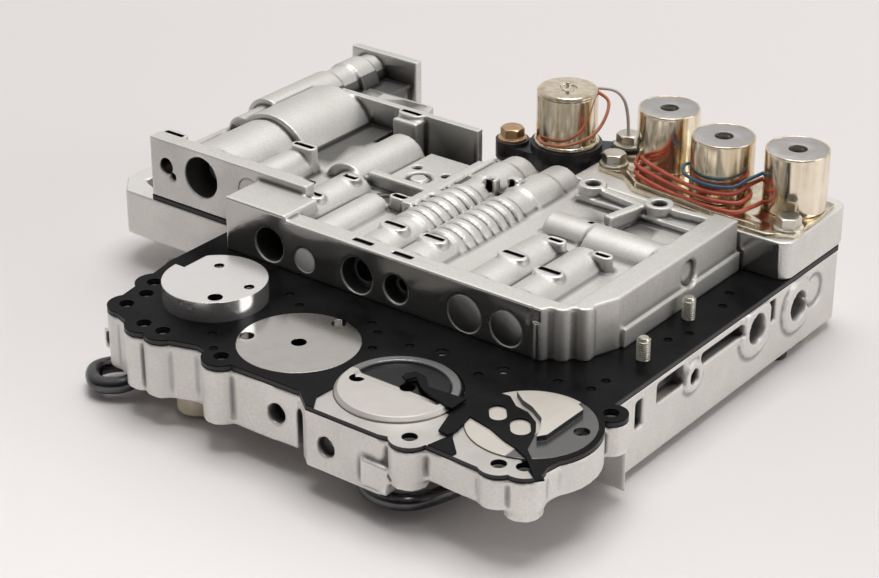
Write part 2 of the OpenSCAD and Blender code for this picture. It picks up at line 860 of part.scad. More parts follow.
module line_solenoid_can() {
  color(zinc_c)
    translate([line_at[0], line_at[1], line_z]) {
      cylinder(d = can_d + 2, h = 1.5);
      cylinder(d = can_d, h = line_can_h);
    }
}

module line_solenoid_cap() {
  color(zinc_c)
    translate([line_at[0], line_at[1], line_z + line_can_h])
      difference() {
        cylinder(d = can_d, h = 2);
        translate([0, 0, 1])
          cylinder(d = 9, h = 5);
      }
}

module line_solenoid_pin() {
  color(steel_c)
    translate([line_at[0], line_at[1], line_z + line_can_h + 1]) {
      cylinder(d = 6, h = 1);
      cylinder(d = 2.4, h = 4);
    }
}

module solenoid_bracket() {
  color(zinc_c)
    translate([0, 0, block_h]) {
      linear_extrude(bracket_t + lip_h)
        for (i = [0:len(lip_at) - 2])
          strip_2d(lip_at[i], lip_at[i + 1], lip_t);
      linear_extrude(bracket_t)
        difference() {
          union() {
            polygon([[-110, 140], [-94.5, 138], [-84.5, 129.5], [-40, 125], [-12, 124.7], [-1, 131],
              [-1, 150], [-3, 170], [-20, 174], [-90, 178.5], [-100, 170], [-114, 150]]);
            translate(bracket_bolts_at[0])
              circle(r = 7);
          }
          for (h = bracket_bolts_at)
            translate(h)
              circle(d = thread_d + 2 * run_gap);
        }
    }
}

module flange_bolt(l) {
  translate([0, 0, 1.4])
    hex_head(hex_h);
  cylinder(d = hex_af + 4, h = 1.4);
  translate([0, 0, -l])
    cylinder(d = thread_d, h = l);
}

module bracket_bolts() {
  color(steel_c) {
    for (h = bracket_bolts_at)
      translate([h[0], h[1], can_z])
        flange_bolt(10);
    translate([ear_nut[0], ear_nut[1], line_z - 2])
      flange_bolt(16);
  }
}

module base_bolt() {
  color([0.72, 0.52, 0.30])
    translate([ear_bolt[0], ear_bolt[1], line_z - 2])
      flange_bolt(16);
}

module through_bolts() {
  color(steel_c)
    for (h = through_at)
      translate([h[0], h[1], floor_z]) {
        hex_head(hex_h);
        cylinder(d = thread_d, h = stud_h - 1 - floor_z);
        translate([0, 0, stud_h - 1 - floor_z])
          cylinder(d1 = thread_d, d2 = thread_d - 2, h = 1);
      }
}

module case_screws() {
  color(steel_c)
    for (h = screws_at)
      translate([h[0], h[1], floor_z]) {
        hex_head(hex_h);
        cylinder(d = thread_d, h = screw_grip - floor_z);
      }
}

module lead(points, d, ref = [0, 0, 1]) {
  sweep(route(points, 3), d, 8, ref);
}

// Point just inside a can's wall at a plan angle and a height above the bracket
function on_can(c, a, z) = [c[0] + (can_d / 2 - 0.7) * cos(a), c[1] + (can_d / 2 - 0.7) * sin(a), z];

module red_leads() {
  color([0.75, 0.22, 0.14]) {
    lead([on_can(cans_at[0], -110, can_z + 7), [-88, 144, can_z + 8], [-76, 138.5, can_z + 8],
      [-60, 133, can_z + 8], [-46, 131.5, can_z + 8], [-36, 136, can_z + 8], [-33, 145, can_z + 10],
      on_can(cans_at[2], 188, can_z + 11)], lead_d);
    lead([on_can(cans_at[0], -130, can_z + 4.5), [-91, 143, can_z + 4.8], [-76, 136.5, can_z + 5],
      [-60, 132, can_z + 5], [-46, 130.5, can_z + 5], [-33, 134, can_z + 5], [-31, 143, can_z + 6],
      on_can(cans_at[1], 0, can_z + 6.5)], lead_d);
    lead([on_can(cans_at[0], -115, can_z + 2), [-90, 141, can_z + 2], [-76, 134.5, can_z + 2],
      [-60, 131, can_z + 2], [-46, 129.5, can_z + 2], [-32, 131, can_z + 2], [-28, 140, can_z + 2.5],
      on_can(cans_at[2], 225, can_z + 3)], lead_d);
  }
}

module blue_lead() {
  color([0.12, 0.33, 0.45])
    lead([on_can(cans_at[1], 171, can_z + 10), [-67, 146, can_z + 10.5], [-61, 136, can_z + 11],
      [-48, 132, can_z + 11], [-37, 136, can_z + 11], [-33, 144, can_z + 13],
      on_can(cans_at[2], 199, can_z + 14.5)], lead_d * 0.8);
}

module orange_lead() {
  color([0.80, 0.42, 0.28])
    lead([on_can(line_at, -120, line_z + 5), [-137, 132.5, line_z + 4.5], [-126, 134, line_z + 5],
      [-117, 142.5, line_z + 9], [-115, 151, line_z + 15], [-117, 157.5, line_z + line_can_h - 3],
      on_can(line_at, 27, line_z + line_can_h + 1)], lead_d * 0.8, [0.6, 0.5, 0.62]);
}

module white_lead() {
  color([0.86, 0.82, 0.80])
    lead([[ear_nut[0], ear_nut[1], line_z + hex_h - 1], [-112.5, 167.5, line_z + 13],
      [-114, 166, line_z + 21], [-118, 163.5, line_z + line_can_h + 0.5],
      on_can(line_at, 46, line_z + line_can_h + 1)],
      lead_d * 0.8, [0.3, 0.9, -0.3]);
}

// Black strap with two eyelets, lying over the right-hand cover and the rim of the middle one
module eyelet_strap() {
  ring_x = acc_x + cover_d / 2;
  color(black_c) {
    linear_extrude(strap_t)
      difference() {
        union() {
          translate([ring_x + 0.75, -54])
            square([last_x - ring_x - 26.75, 5]);
          translate([last_x, 0])
            polygon([[-31, -50], [-28, -41], [-29, -36.5], [-25.5, -32], [-18.5, -31.5], [-12, -36.5],
              [-5.5, -37.5], [1.5, -42], [5, -47], [8, -54.5], [10, -60], [23.5, -71.5], [28.5, -74.5],
              [26.5, -77], [21.8, -73], [14, -66], [7, -62.5], [-0.5, -60.5], [-10, -56.5], [-21.5, -54],
              [-19.5, -65.5], [-20, -70.5], [-25, -70], [-30, -55]]);
        }
        translate([last_x - 14.7, -45])
          rotate(-51)
            slot_2d(12, 7);
        translate([last_x - 1.4, -48.4])
          rotate(-51)
            slot_2d(13, 8);
      }
    translate([ring_x, 0, cover_ring])
      linear_extrude(strap_t)
        polygon([[-29.25, -47], [-29.75, -44], [-27.25, -40.5], [-21.25, -41.5], [-15.25, -47.5], [2.25, -46],
          [2.25, -55], [-0.25, -55.5], [-15.25, -51], [-19.25, -48.5], [-24.25, -44], [-26.25, -48.5]]);
    box(ring_x + 0.75, ring_x + 2.25, -54, -48, 0, cover_ring + strap_t);
  }
}

// Tubes, lower solenoid and seal under the castings

module side_tube() {
  z = rim_low - 7;
  color([0.30, 0.30, 0.31])
    difference() {
      sweep(route([[-203, -47.5, rim_low + 3], [-206, -49.5, z + 2.5], [-213, -53.5, z], [-226, -62, z],
        [-230, -72, z], [-221, -80, z], [-212, -77, z + 0.5], [-206.5, -71, z + 3],
        [-203, -67, rim_low + 3]], 3),
        tube_d - 1.5, 12, [0.1, 0.5, 0.86]);
      box(-220, -190, -90, -40, rim_low, rim_low + 10);
    }
}

module bend_tube() {
  color([0.20, 0.20, 0.21])
    difference() {
      sweep(route([[-262.5, 53, rim_low + 6], [-261.5, 46, rim_low - 2.5], [-260, 37, rim_low - 4],
        [-258, 22, rim_low - 3.5], [-255, 8, rim_low + 1], [-249, -3, -18], [-241, 1, -15], [-235, 8, -15],
        [-227, 12, -15]], 3), tube_d - 2, 12, [0.1, 0.2, 0.97]);
      box(-270, -250, 40, 60, rim_low + 3, rim_low + 20);
      box(-228, -220, 0, 20, -25, -5);
    }
}

module front_tube() {
  z = low_bot + tube_d / 2 - 0.5;
  color([0.35, 0.35, 0.36])
    difference() {
      sweep(route([for (p = [[-92, -11], [-91, -27], [-90, -42], [-84, -66], [-68, -79], [-51, -74],
        [-42, -48], [-40, -30], [-38, -11]]) [p[0], p[1], z]], 3), tube_d - 2, 12);
      box(-100, -30, -12, 0, low_bot - 10, 0);
    }
}

module lower_solenoid() {
  color([0.86, 0.82, 0.68])
    translate([low_can_at[0], low_can_at[1], floor_z + 2])
      cylinder(d = low_can_d, h = rim_low - floor_z - 2);
}

module seal_sleeve() {
  color(black_c)
    translate([-8, 132, floor_z])
      cylinder(d = 13, h = hex_h);
}

translate(shift) {
  lower_body();
  lower_gasket();
  separator_plate();
  upper_gasket();
  upper_body();
  solenoid_block();
  accumulator_cap();
  accumulator_cover_left();
  accumulator_cover_middle();
  accumulator_cover_right();
  piston(0);  // accumulator_piston_1
  piston(1);  // accumulator_piston_2
  piston(2);  // accumulator_piston_3
  piston(3);  // accumulator_piston_4
  piston_spring(0);  // accumulator_spring_1
  piston_spring(1);  // accumulator_spring_2
  piston_spring(2);  // accumulator_spring_3
  piston_spring(3);  // accumulator_spring_4
  spool(0);  // spool_valve_1
  spool(1);  // spool_valve_2
  spool(2);  // spool_valve_3
  spool(3);  // spool_valve_4
  spool(4);  // spool_valve_5
  valve_spring(0);  // valve_spring_1
  valve_spring(1);  // valve_spring_2
  valve_spring(2);  // valve_spring_3
  valve_spring(3);  // valve_spring_4
  valve_spring(4);  // valve_spring_5
  manual_valve();
  deep_plug();
  hollow_plugs();
  flush_plugs();
  blank_plugs();
  keeper_plates();
  shift_solenoid(0);  // shift_solenoid_1
  shift_solenoid(1);  // shift_solenoid_2
  shift_solenoid(2);  // shift_solenoid_3
  solenoid_end_caps();
  plunger(0);  // plunger_1
  plunger(1);  // plunger_2
  plunger(2);  // plunger_3
  line_solenoid_base();
  line_solenoid_can();
  line_solenoid_cap();
  line_solenoid_pin();
  solenoid_bracket();
  bracket_bolts();
  base_bolt();
  through_bolts();
  case_screws();
  red_leads();
  blue_lead();
  orange_lead();
  white_lead();
  side_tube();
  bend_tube();
  front_tube();
  lower_solenoid();
  seal_sleeve();
  eyelet_strap();
}
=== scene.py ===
"""Looks of a hydraulic valve body of an automatic gearbox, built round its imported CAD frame."""

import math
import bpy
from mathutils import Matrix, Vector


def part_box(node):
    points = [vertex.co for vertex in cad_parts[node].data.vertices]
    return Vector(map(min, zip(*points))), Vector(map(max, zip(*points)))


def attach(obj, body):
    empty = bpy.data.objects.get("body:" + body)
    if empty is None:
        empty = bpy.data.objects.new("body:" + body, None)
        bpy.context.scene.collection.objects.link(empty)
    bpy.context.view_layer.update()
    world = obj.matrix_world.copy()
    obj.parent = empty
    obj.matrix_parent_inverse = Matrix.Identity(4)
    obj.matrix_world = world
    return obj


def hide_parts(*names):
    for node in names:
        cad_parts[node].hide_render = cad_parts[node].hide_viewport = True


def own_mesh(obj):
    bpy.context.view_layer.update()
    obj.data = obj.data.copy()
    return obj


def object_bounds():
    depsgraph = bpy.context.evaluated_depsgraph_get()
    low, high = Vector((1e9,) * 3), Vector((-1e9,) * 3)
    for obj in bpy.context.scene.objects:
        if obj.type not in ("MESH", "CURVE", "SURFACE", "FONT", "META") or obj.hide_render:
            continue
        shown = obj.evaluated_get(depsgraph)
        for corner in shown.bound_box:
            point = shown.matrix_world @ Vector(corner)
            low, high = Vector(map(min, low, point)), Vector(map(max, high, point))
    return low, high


bl_info = {
    "name": "Valve Body",
    "version": (1, 0, 0),
    "blender": (4, 5, 0),
    "location": "3D View > Sidebar > Valve Body",
    "description": "Cast, plated and machined finishes of a gearbox valve body",
    "category": "Object",
}

import bmesh
import bpy
import numpy as np
from bpy.props import FloatProperty, FloatVectorProperty, IntProperty, PointerProperty
from mathutils import Matrix, Vector
from mathutils.bvhtree import BVHTree

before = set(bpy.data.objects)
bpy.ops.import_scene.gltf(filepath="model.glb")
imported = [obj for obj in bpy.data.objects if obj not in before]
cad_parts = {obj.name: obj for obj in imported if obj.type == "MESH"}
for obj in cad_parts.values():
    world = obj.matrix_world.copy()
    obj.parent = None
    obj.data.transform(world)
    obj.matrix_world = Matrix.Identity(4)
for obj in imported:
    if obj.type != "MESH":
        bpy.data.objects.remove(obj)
CAD_LOW, CAD_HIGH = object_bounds()


# Places. Drawing coordinates are millimetres from the plate's right edge, the main front face
# and the plate's top.


def node_middle(node):
    low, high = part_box(node)
    return (low + high) / 2


# Middles of the three shift solenoids and of the line solenoid in the drawing
FIRST_CAN, SECOND_CAN, THIRD_CAN, LINE_CAN = (-87, 163), (-50, 150), (-16.5, 157.5), (-135, 150)
_THIRD = node_middle("shift_solenoid_3")
DRAWING = Vector(
    (_THIRD.x - THIRD_CAN[0] / 1000, _THIRD.y - THIRD_CAN[1] / 1000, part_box("upper_gasket")[1].z)
)


def at(x, y, z):
    """Point in metres of a point of the drawing."""
    return DRAWING + Vector((x, y, z)) / 1000


def path(*points):
    return [at(*p) for p in points]


ROOT = "valve_body"
PISTON_TRAVEL = 0.004
UPRIGHT = Matrix.Identity(3)
ALONG_BORE = Matrix.Rotation(math.radians(-90), 3, "X")


# Mesh helpers

SHARP = 35  # degrees past which an edge is not shaded smooth
HEAD_SHARP = 25  # the same on hexagon heads
CAST_SHARP = 60  # the same on castings
SAME_POINT = 1e-6  # metres
ARC_STEPS = 4
LATHE_SIDES = 96
ROUTE_STEPS = 8


def add_object(name, mesh):
    piece = bpy.data.objects.new(name, mesh)
    bpy.context.scene.collection.objects.link(piece)
    return piece


def smooth(mesh, angle=SHARP):
    mesh.polygons.foreach_set("use_smooth", [True] * len(mesh.polygons))
    mesh.set_sharp_from_angle(angle=math.radians(angle))
    mesh.update()


def mesh_of(name, points, faces, angle=SHARP):
    mesh = bpy.data.meshes.new(name)
    mesh.from_pydata([tuple(p) for p in points], [], faces)
    mesh.validate()
    smooth(mesh, angle)
    return mesh


def merged(mesh, distance=SAME_POINT):
    """Editable copy of a mesh with its doubles merged."""
    shell = bmesh.new()
    shell.from_mesh(mesh)
    bmesh.ops.remove_doubles(shell, verts=shell.verts, dist=distance)
    return shell


def put_back(shell, mesh):
    shell.to_mesh(mesh)
    shell.free()


def close(mesh):
    """Merges doubles of a closed mesh and makes every face point outwards."""
    shell = merged(mesh, 1e-7)
    bmesh.ops.recalc_face_normals(shell, faces=shell.faces)
    put_back(shell, mesh)
    smooth(mesh)


def settle(piece):
    """Turns the evaluated object into a plain mesh and drops its modifiers."""
    depsgraph = bpy.context.evaluated_depsgraph_get()
    made = bpy.data.meshes.new_from_object(piece.evaluated_get(depsgraph))
    piece.modifiers.clear()
    old = piece.data
    piece.data = made
    if old.users == 0:
        bpy.data.meshes.remove(old)


def join(piece, *others):
    """Adds other objects' meshes to a piece."""
    shell = bmesh.new()
    for o in (piece, *others):
        shell.from_mesh(o.data)
    put_back(shell, piece.data)
    for o in others:
        bpy.data.objects.remove(o)


def round_angles(sides):
    return [2 * math.pi * k / sides for k in range(sides)]


def ring_numbers(count, sides):
    """Vertex numbers of rings that follow one another."""
    return [list(range(i * sides, (i + 1) * sides)) for i in range(count)]


def skin(rings):
    """Faces between rings of vertex numbers and over the ends, where a ring of one is a pole."""
    faces = []
    for low, high in zip(rings, rings[1:]):
        sides = max(len(low), len(high))
        for k in range(sides):
            n = (k + 1) % sides
            if len(low) == 1:
                faces.append((low[0], high[n], high[k]))
            elif len(high) == 1:
                faces.append((low[k], low[n], high[0]))
            else:
                faces.append((low[k], low[n], high[n], high[k]))
    return faces + [tuple(r) for r in (rings[0][::-1], rings[-1]) if len(r) > 1]


def closed_piece(name, points, rings):
    mesh = mesh_of(name, points, skin(rings))
    close(mesh)
    return add_object(name, mesh)


def rounded(profile, radius):
    """Outline with each inner corner replaced by a small arc."""
    made = [Vector(profile[0])]
    for before, corner, after in zip(profile, profile[1:], profile[2:]):
        a, p, b = Vector(before), Vector(corner), Vector(after)
        reach = min(radius, 0.45 * (a - p).length, 0.45 * (b - p).length)
        start = p + (a - p).normalized() * reach
        end = p + (b - p).normalized() * reach
        for k in range(ARC_STEPS + 1):
            t = k / ARC_STEPS
            made.append((1 - t) ** 2 * start + 2 * t * (1 - t) * p + t * t * end)
    made.append(Vector(profile[-1]))
    return made


def lathe(name, profile, centre):
    """Turned solid from (radius, height) pairs in millimetres that start and end on the axis."""
    points, rings = [], []
    for r, z in profile:
        angles = [0.0] if r < SAME_POINT else round_angles(LATHE_SIDES)
        rings.append(list(range(len(points), len(points) + len(angles))))
        points += [Vector((r * math.cos(a), r * math.sin(a), z)) for a in angles]
    return closed_piece(name, [Vector(centre) + p / 1000 for p in points], rings)


def curve_through(points):
    """Smooth route through given points."""
    made = []
    last = len(points) - 1
    for i in range(last):
        a, b, c, d = points[max(i - 1, 0)], points[i], points[i + 1], points[min(i + 2, last)]
        square, cube = 2 * a - 5 * b + 4 * c - d, 3 * b - a - 3 * c + d
        for k in range(ROUTE_STEPS):
            t = k / ROUTE_STEPS
            made.append(0.5 * (2 * b + (c - a) * t + square * t * t + cube * t**3))
    made.append(points[-1])
    return made


def cut_route(route, plane):
    """Drops the start of a route that lies behind a plane, given as (point, normal)."""
    point, normal = plane
    route = list(route)
    while (route[1] - point).dot(normal) < 0:
        route.pop(0)
    a, b = route[0], route[1]
    share = (point - a).dot(normal) / (b - a).dot(normal)
    route[0] = a + (b - a) * max(share, 0)
    return route


def sweep(name, points, radius, sides, start=None, end=None):
    """Round rod on a smooth route, with frames carried along it and its ends cut on planes."""
    route = curve_through(points)
    if start:
        route = cut_route(route, start)
    if end:
        route = cut_route(route[::-1], end)[::-1]
    last = len(route) - 1
    side, made = None, []
    for i, middle in enumerate(route):
        ahead = (route[min(i + 1, last)] - route[max(i - 1, 0)]).normalized()
        if side is None:
            side = ahead.orthogonal().normalized()
        side = (side - ahead * side.dot(ahead)).normalized()
        up = side.cross(ahead)
        ring = [
            middle + radius * (side * math.cos(a) + up * math.sin(a)) for a in round_angles(sides)
        ]
        plane = start if i == 0 else end if i == last else None
        if plane:
            point, normal = plane
            along = ahead.dot(normal)
            ring = [p + ahead * ((point - p).dot(normal) / along) for p in ring]
        made += ring
    return closed_piece(name, made, ring_numbers(len(route), sides))


def parts_of(node):
    """Boxes of the separate solids of a CAD node."""
    shell = merged(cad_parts[node].data)
    left, boxes = set(shell.verts), []
    while left:
        todo, group = [left.pop()], []
        while todo:
            v = todo.pop()
            group.append(v.co.copy())
            for e in v.link_edges:
                other = e.other_vert(v)
                if other in left:
                    left.remove(other)
                    todo.append(other)
        low = Vector([min(c[k] for c in group) for k in range(3)])
        high = Vector([max(c[k] for c in group) for k in range(3)])
        boxes.append((low, high))
    shell.free()
    return boxes


# Castings

SLOT_ROOM = 0.0012  # metres round a keeper slot that keep their sharp corners
SLOT_SHADE = 0.0005  # metres round a keeper slot that are painted dark as shade
# How dark the inside of a bore is painted, as painted shade
BORE_SHADE = 0.75
BORE_RIM, BORE_LIP = 0.0009, 0.0008  # metres of a bore's wall and mouth that stay pale
PISTON_ROOM = 0.0004  # metres between a piston and its chamber
CHAMBER_WALL, CHAMBER_FLOOR = 0.003, 0.002  # metres that are moved clear of a piston
OPEN_REACH, OPEN_LIFT = 0.014, 0.0003  # metres that a point looks for cover, and starts from
OPEN_RAYS = 9
GOLDEN_ANGLE = 2.399963
HOLLOW_BEND = -0.03


def vectors_of(mesh, what="co"):
    made = np.empty(len(mesh.vertices) * 3, np.float32)
    mesh.vertices.foreach_get(what, made)
    return made.reshape(-1, 3)


def edge_ends(mesh):
    ends = np.empty(len(mesh.edges) * 2, np.int32)
    mesh.edges.foreach_get("vertices", ends)
    return ends.reshape(-1, 2)


def add_attribute(mesh, name, value):
    layer = mesh.attributes.new(name, "FLOAT", "POINT")
    layer.data.foreach_set("value", value.astype(np.float32))


def within(co, boxes, margin):
    """Which points lie over one of the boxes' floors, with a margin in metres."""
    inside = np.zeros(len(co), bool)
    for low, high in boxes:
        over = co[:, 2] > low.z
        for k in (0, 1):
            over &= (co[:, k] > low[k] - margin) & (co[:, k] < high[k] + margin)
        inside |= over
    return inside


def cast_form(node, voxel, rounds, budget, fillets=0, bores=(), slots=()):
    """Copy of a CAD casting with the soft corners of a sand or die casting."""
    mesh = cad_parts[node].data.copy()
    piece = add_object(node + "_cast", mesh)
    mesh.materials.clear()
    put_back(merged(mesh), mesh)
    grid = piece.modifiers.new("grid", "REMESH")
    grid.mode = "VOXEL"
    grid.voxel_size = voxel / 1000
    settle(piece)
    soften(piece, rounds, ~within(vectors_of(piece.data), slots, SLOT_ROOM))
    if fillets:
        plain = ~within(vectors_of(piece.data), slots, SLOT_ROOM)
        soften(piece, fillets, hollows(piece.data, bores) & plain)
    cavity_attribute(piece.data)
    thin = piece.modifiers.new("thin", "DECIMATE")
    thin.ratio = min(1, budget / (2 * len(piece.data.polygons)))
    settle(piece)
    smooth(piece.data, CAST_SHARP)
    # Keeper slots and bore insides go into the slot attribute, which the casting finish paints near
    # black: painted shade
    co = vectors_of(piece.data)
    dark = within(co, slots, SLOT_SHADE).astype(np.float32)
    for x, z, radius, depth in bores:
        inside = np.hypot(co[:, 0] - x, co[:, 2] - z) < radius - BORE_RIM
        inside &= co[:, 1] > depth + BORE_LIP
        dark[inside] = np.maximum(dark[inside], BORE_SHADE)
    add_attribute(piece.data, "slot", dark)
    open_attribute(piece.data)
    return piece


def make_room(mesh, node):
    """Keeps a casting's chamber clear of a piston all along its stroke downwards."""
    low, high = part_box(node)
    middle = np.array(((low + high) / 2).xy, np.float32)
    radius = (high.x - low.x) / 2 + PISTON_ROOM
    lowest = low.z - PISTON_TRAVEL - PISTON_ROOM
    co = vectors_of(mesh)
    away = co[:, :2] - middle
    far = np.hypot(away[:, 0], away[:, 1])
    level = (co[:, 2] > lowest) & (co[:, 2] < high.z + PISTON_ROOM)
    wall = level & (far < radius) & (far > radius - CHAMBER_WALL)
    co[wall, :2] = middle + away[wall] * (radius / far[wall])[:, None]
    ground = (far < radius) & (co[:, 2] > lowest) & (co[:, 2] < lowest + CHAMBER_FLOOR)
    co[ground & ~wall, 2] = lowest
    mesh.vertices.foreach_set("co", co.ravel())
    mesh.update()


def open_attribute(mesh):
    """Point attribute that is low deep inside holes and pockets and one in the open."""
    points = [v.co.copy() for v in mesh.vertices]
    tree = BVHTree.FromPolygons(points, [tuple(p.vertices) for p in mesh.polygons])
    fan = []
    for k in range(OPEN_RAYS):
        rise = math.sqrt((k + 0.5) / OPEN_RAYS)
        turn = GOLDEN_ANGLE * k
        flat = math.sqrt(1 - rise * rise)
        fan.append((flat * math.cos(turn), flat * math.sin(turn), rise))
    value = np.zeros(len(points))
    for i, v in enumerate(mesh.vertices):
        normal = v.normal
        side = normal.orthogonal().normalized()
        across = normal.cross(side)
        start = v.co + normal * OPEN_LIFT
        free = 0
        for a, b, c in fan:
            way = side * a + across * b + normal * c
            if tree.ray_cast(start, way, OPEN_REACH)[0] is None:
                free += 1
        value[i] = free / OPEN_RAYS
    # The casting finish paints shade from this value, like ambient occlusion
    add_attribute(mesh, "open", spread_out(value, edge_ends(mesh), 2))


def spread_out(value, ends, times):
    """Evens a value over neighbouring vertices."""
    count = len(value)
    share = np.bincount(ends.ravel(), minlength=count)
    a, b = ends[:, 0], ends[:, 1]
    for _ in range(times):
        near = np.bincount(a, value[b], count) + np.bincount(b, value[a], count)
        value = 0.4 * value + 0.6 * near / np.maximum(share, 1)
    return value


def soften(piece, rounds, mask):
    """Smooths the chosen vertices of a piece."""
    group = piece.vertex_groups.new(name="soft")
    group.add([int(k) for k in np.nonzero(mask)[0]], 1.0, "REPLACE")
    soft = piece.modifiers.new("soft", "SMOOTH")
    soft.vertex_group = "soft"
    soft.factor = 0.5
    soft.iterations = rounds
    settle(piece)
    piece.vertex_groups.clear()


def hollows(mesh, bores):
    """The hollows and their surroundings, kept off the bores, which are (x, z, radius, depth)."""
    value, ends = bend_of(mesh)
    hollow = value < HOLLOW_BEND
    for _ in range(3):
        hollow[ends[:, 0]] |= hollow[ends[:, 1]]
        hollow[ends[:, 1]] |= hollow[ends[:, 0]]
    co = vectors_of(mesh)
    for x, z, radius, _ in bores:
        hollow[np.hypot(co[:, 0] - x, co[:, 2] - z) < radius] = False
    return hollow


def bend_of(mesh):
    """How far the surface bends at each vertex, below zero in hollows, and the edges' ends."""
    count = len(mesh.vertices)
    co, no, ends = vectors_of(mesh), vectors_of(mesh, "normal"), edge_ends(mesh)
    way = co[ends[:, 1]] - co[ends[:, 0]]
    way /= np.maximum(np.linalg.norm(way, axis=1, keepdims=True), 1e-9)
    bend = np.einsum("ij,ij->i", way, no[ends[:, 1]] - no[ends[:, 0]])
    total = np.zeros(count)
    share = np.zeros(count)
    for k in (0, 1):
        np.add.at(total, ends[:, k], bend)
        np.add.at(share, ends[:, k], 1)
    return total / np.maximum(share, 1), ends


def cavity_attribute(mesh):
    """Point attribute that is low in hollows and high on edges."""
    value, ends = bend_of(mesh)
    # The casting finish paints shade where this is low, and a highlight with wear where it is high
    add_attribute(mesh, "cavity", np.clip(0.5 + 1.6 * spread_out(value, ends, 3), 0, 1))


# Materials


def scaled(colour, factor):
    return tuple(min(1, factor * c) for c in colour)


class Nodes:
    """Small helper that fills one node tree."""

    def __init__(self, tree):
        self.tree = tree

    def put(self, value, socket):
        """Links an output to a socket, or sets a plain value there."""
        if hasattr(value, "is_linked"):
            self.tree.links.new(value, socket)
        else:
            socket.default_value = (*value[:3], 1) if socket.type == "RGBA" else value

    def add(self, kind, *inputs, **values):
        """Node with inputs given in order, and properties and inputs given by name."""
        node = self.tree.nodes.new(kind)
        for key, value in values.items():
            if hasattr(node, key):
                setattr(node, key, value)
            else:
                self.put(value, node.inputs[key.replace("_", " ")])
        for value, socket in zip(inputs, node.inputs):
            self.put(value, socket)
        return node

    def vector(self, operation, *values):
        return self.add("ShaderNodeVectorMath", *values, operation=operation).outputs


class Finish(Nodes):
    """Small helper that wires one principled material."""

    def __init__(self, name):
        self.material = bpy.data.materials.new(name)
        self.material.use_nodes = True
        super().__init__(self.material.node_tree)
        self.place = self.add("ShaderNodeTexCoord").outputs["Object"]
        self.normal = None

    def noise(self, scale, detail, rough, stretch=None):
        place = self.place
        if stretch:
            place = self.add("ShaderNodeMapping", Vector=place, Scale=stretch).outputs["Vector"]
        values = {"Scale": scale, "Detail": detail, "Roughness": rough}
        return self.add("ShaderNodeTexNoise", Vector=place, **values).outputs["Fac"]

    def ramp(self, value, low, high):
        node = self.add("ShaderNodeMapRange", Value=value, From_Min=low, From_Max=high)
        return node.outputs["Result"]

    def blend_number(self, share, a, b):
        return self.add("ShaderNodeMapRange", Value=share, To_Min=a, To_Max=b).outputs["Result"]

    def mix(self, share, a, b):
        """Blend of two colours."""
        node = self.add("ShaderNodeMix", data_type="RGBA", Factor=share)
        self.put(a, node.inputs[6])
        self.put(b, node.inputs[7])
        return node.outputs[2]

    def choose(self, share, a, b):
        """Blend of two numbers that may be outputs."""
        node = self.add("ShaderNodeMix", data_type="FLOAT", Factor=share)
        self.put(a, node.inputs[2])
        self.put(b, node.inputs[3])
        return node.outputs[0]

    def math(self, operation, *values):
        return self.add("ShaderNodeMath", *values, operation=operation).outputs[0]

    def axis(self, vector, letter):
        return self.add("ShaderNodeSeparateXYZ", Vector=vector).outputs[letter]

    def facing(self, kind, letter):
        """One axis of the shading or the true normal."""
        return self.axis(self.add("ShaderNodeNewGeometry").outputs[kind], letter)

    def attribute(self, name):
        return self.add("ShaderNodeAttribute", attribute_name=name).outputs["Fac"]

    def faces_at(self, y):
        """One on the faces that look forwards at a given depth, nought elsewhere."""
        depth = self.math("COMPARE", self.axis(self.place, "Y"), y, 0.0005)
        return self.math("MULTIPLY", self.ramp(self.facing("Normal", "Y"), -0.8, -0.97), depth)

    def hole_walls(self, node):
        """One on the upright faces inside a round cover's edge."""
        low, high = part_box(node)
        middle = (low + high) / 2
        edge = (high.x - low.x) / 2
        away = self.vector("MULTIPLY_ADD", self.place, (1, 1, 0), (-middle.x, -middle.y, 0))
        length = self.vector("LENGTH", away["Vector"])["Value"]
        steep = self.math("ABSOLUTE", self.facing("True Normal", "Z"))
        inner = self.ramp(length, edge - 0.002, edge - 0.003)
        return self.math("MULTIPLY", self.ramp(steep, 0.4, 0.2), inner)

    def bump(self, height, strength, distance):
        node = self.add("ShaderNodeBump", Strength=strength, Distance=distance, Height=height)
        if self.normal is not None:
            self.put(self.normal, node.inputs["Normal"])
        self.normal = node.outputs["Normal"]

    def soft_edges(self, radius):
        self.normal = self.add("ShaderNodeBevel", samples=4, Radius=radius).outputs["Normal"]

    def done(self, colour, metallic, roughness, specular=0.5):
        sockets = self.tree.nodes["Principled BSDF"].inputs
        self.put(colour, sockets["Base Color"])
        self.put(metallic, sockets["Metallic"])
        self.put(roughness, sockets["Roughness"])
        self.put(specular, sockets["Specular IOR Level"])
        if self.normal is not None:
            self.put(self.normal, sockets["Normal"])
        return self.material


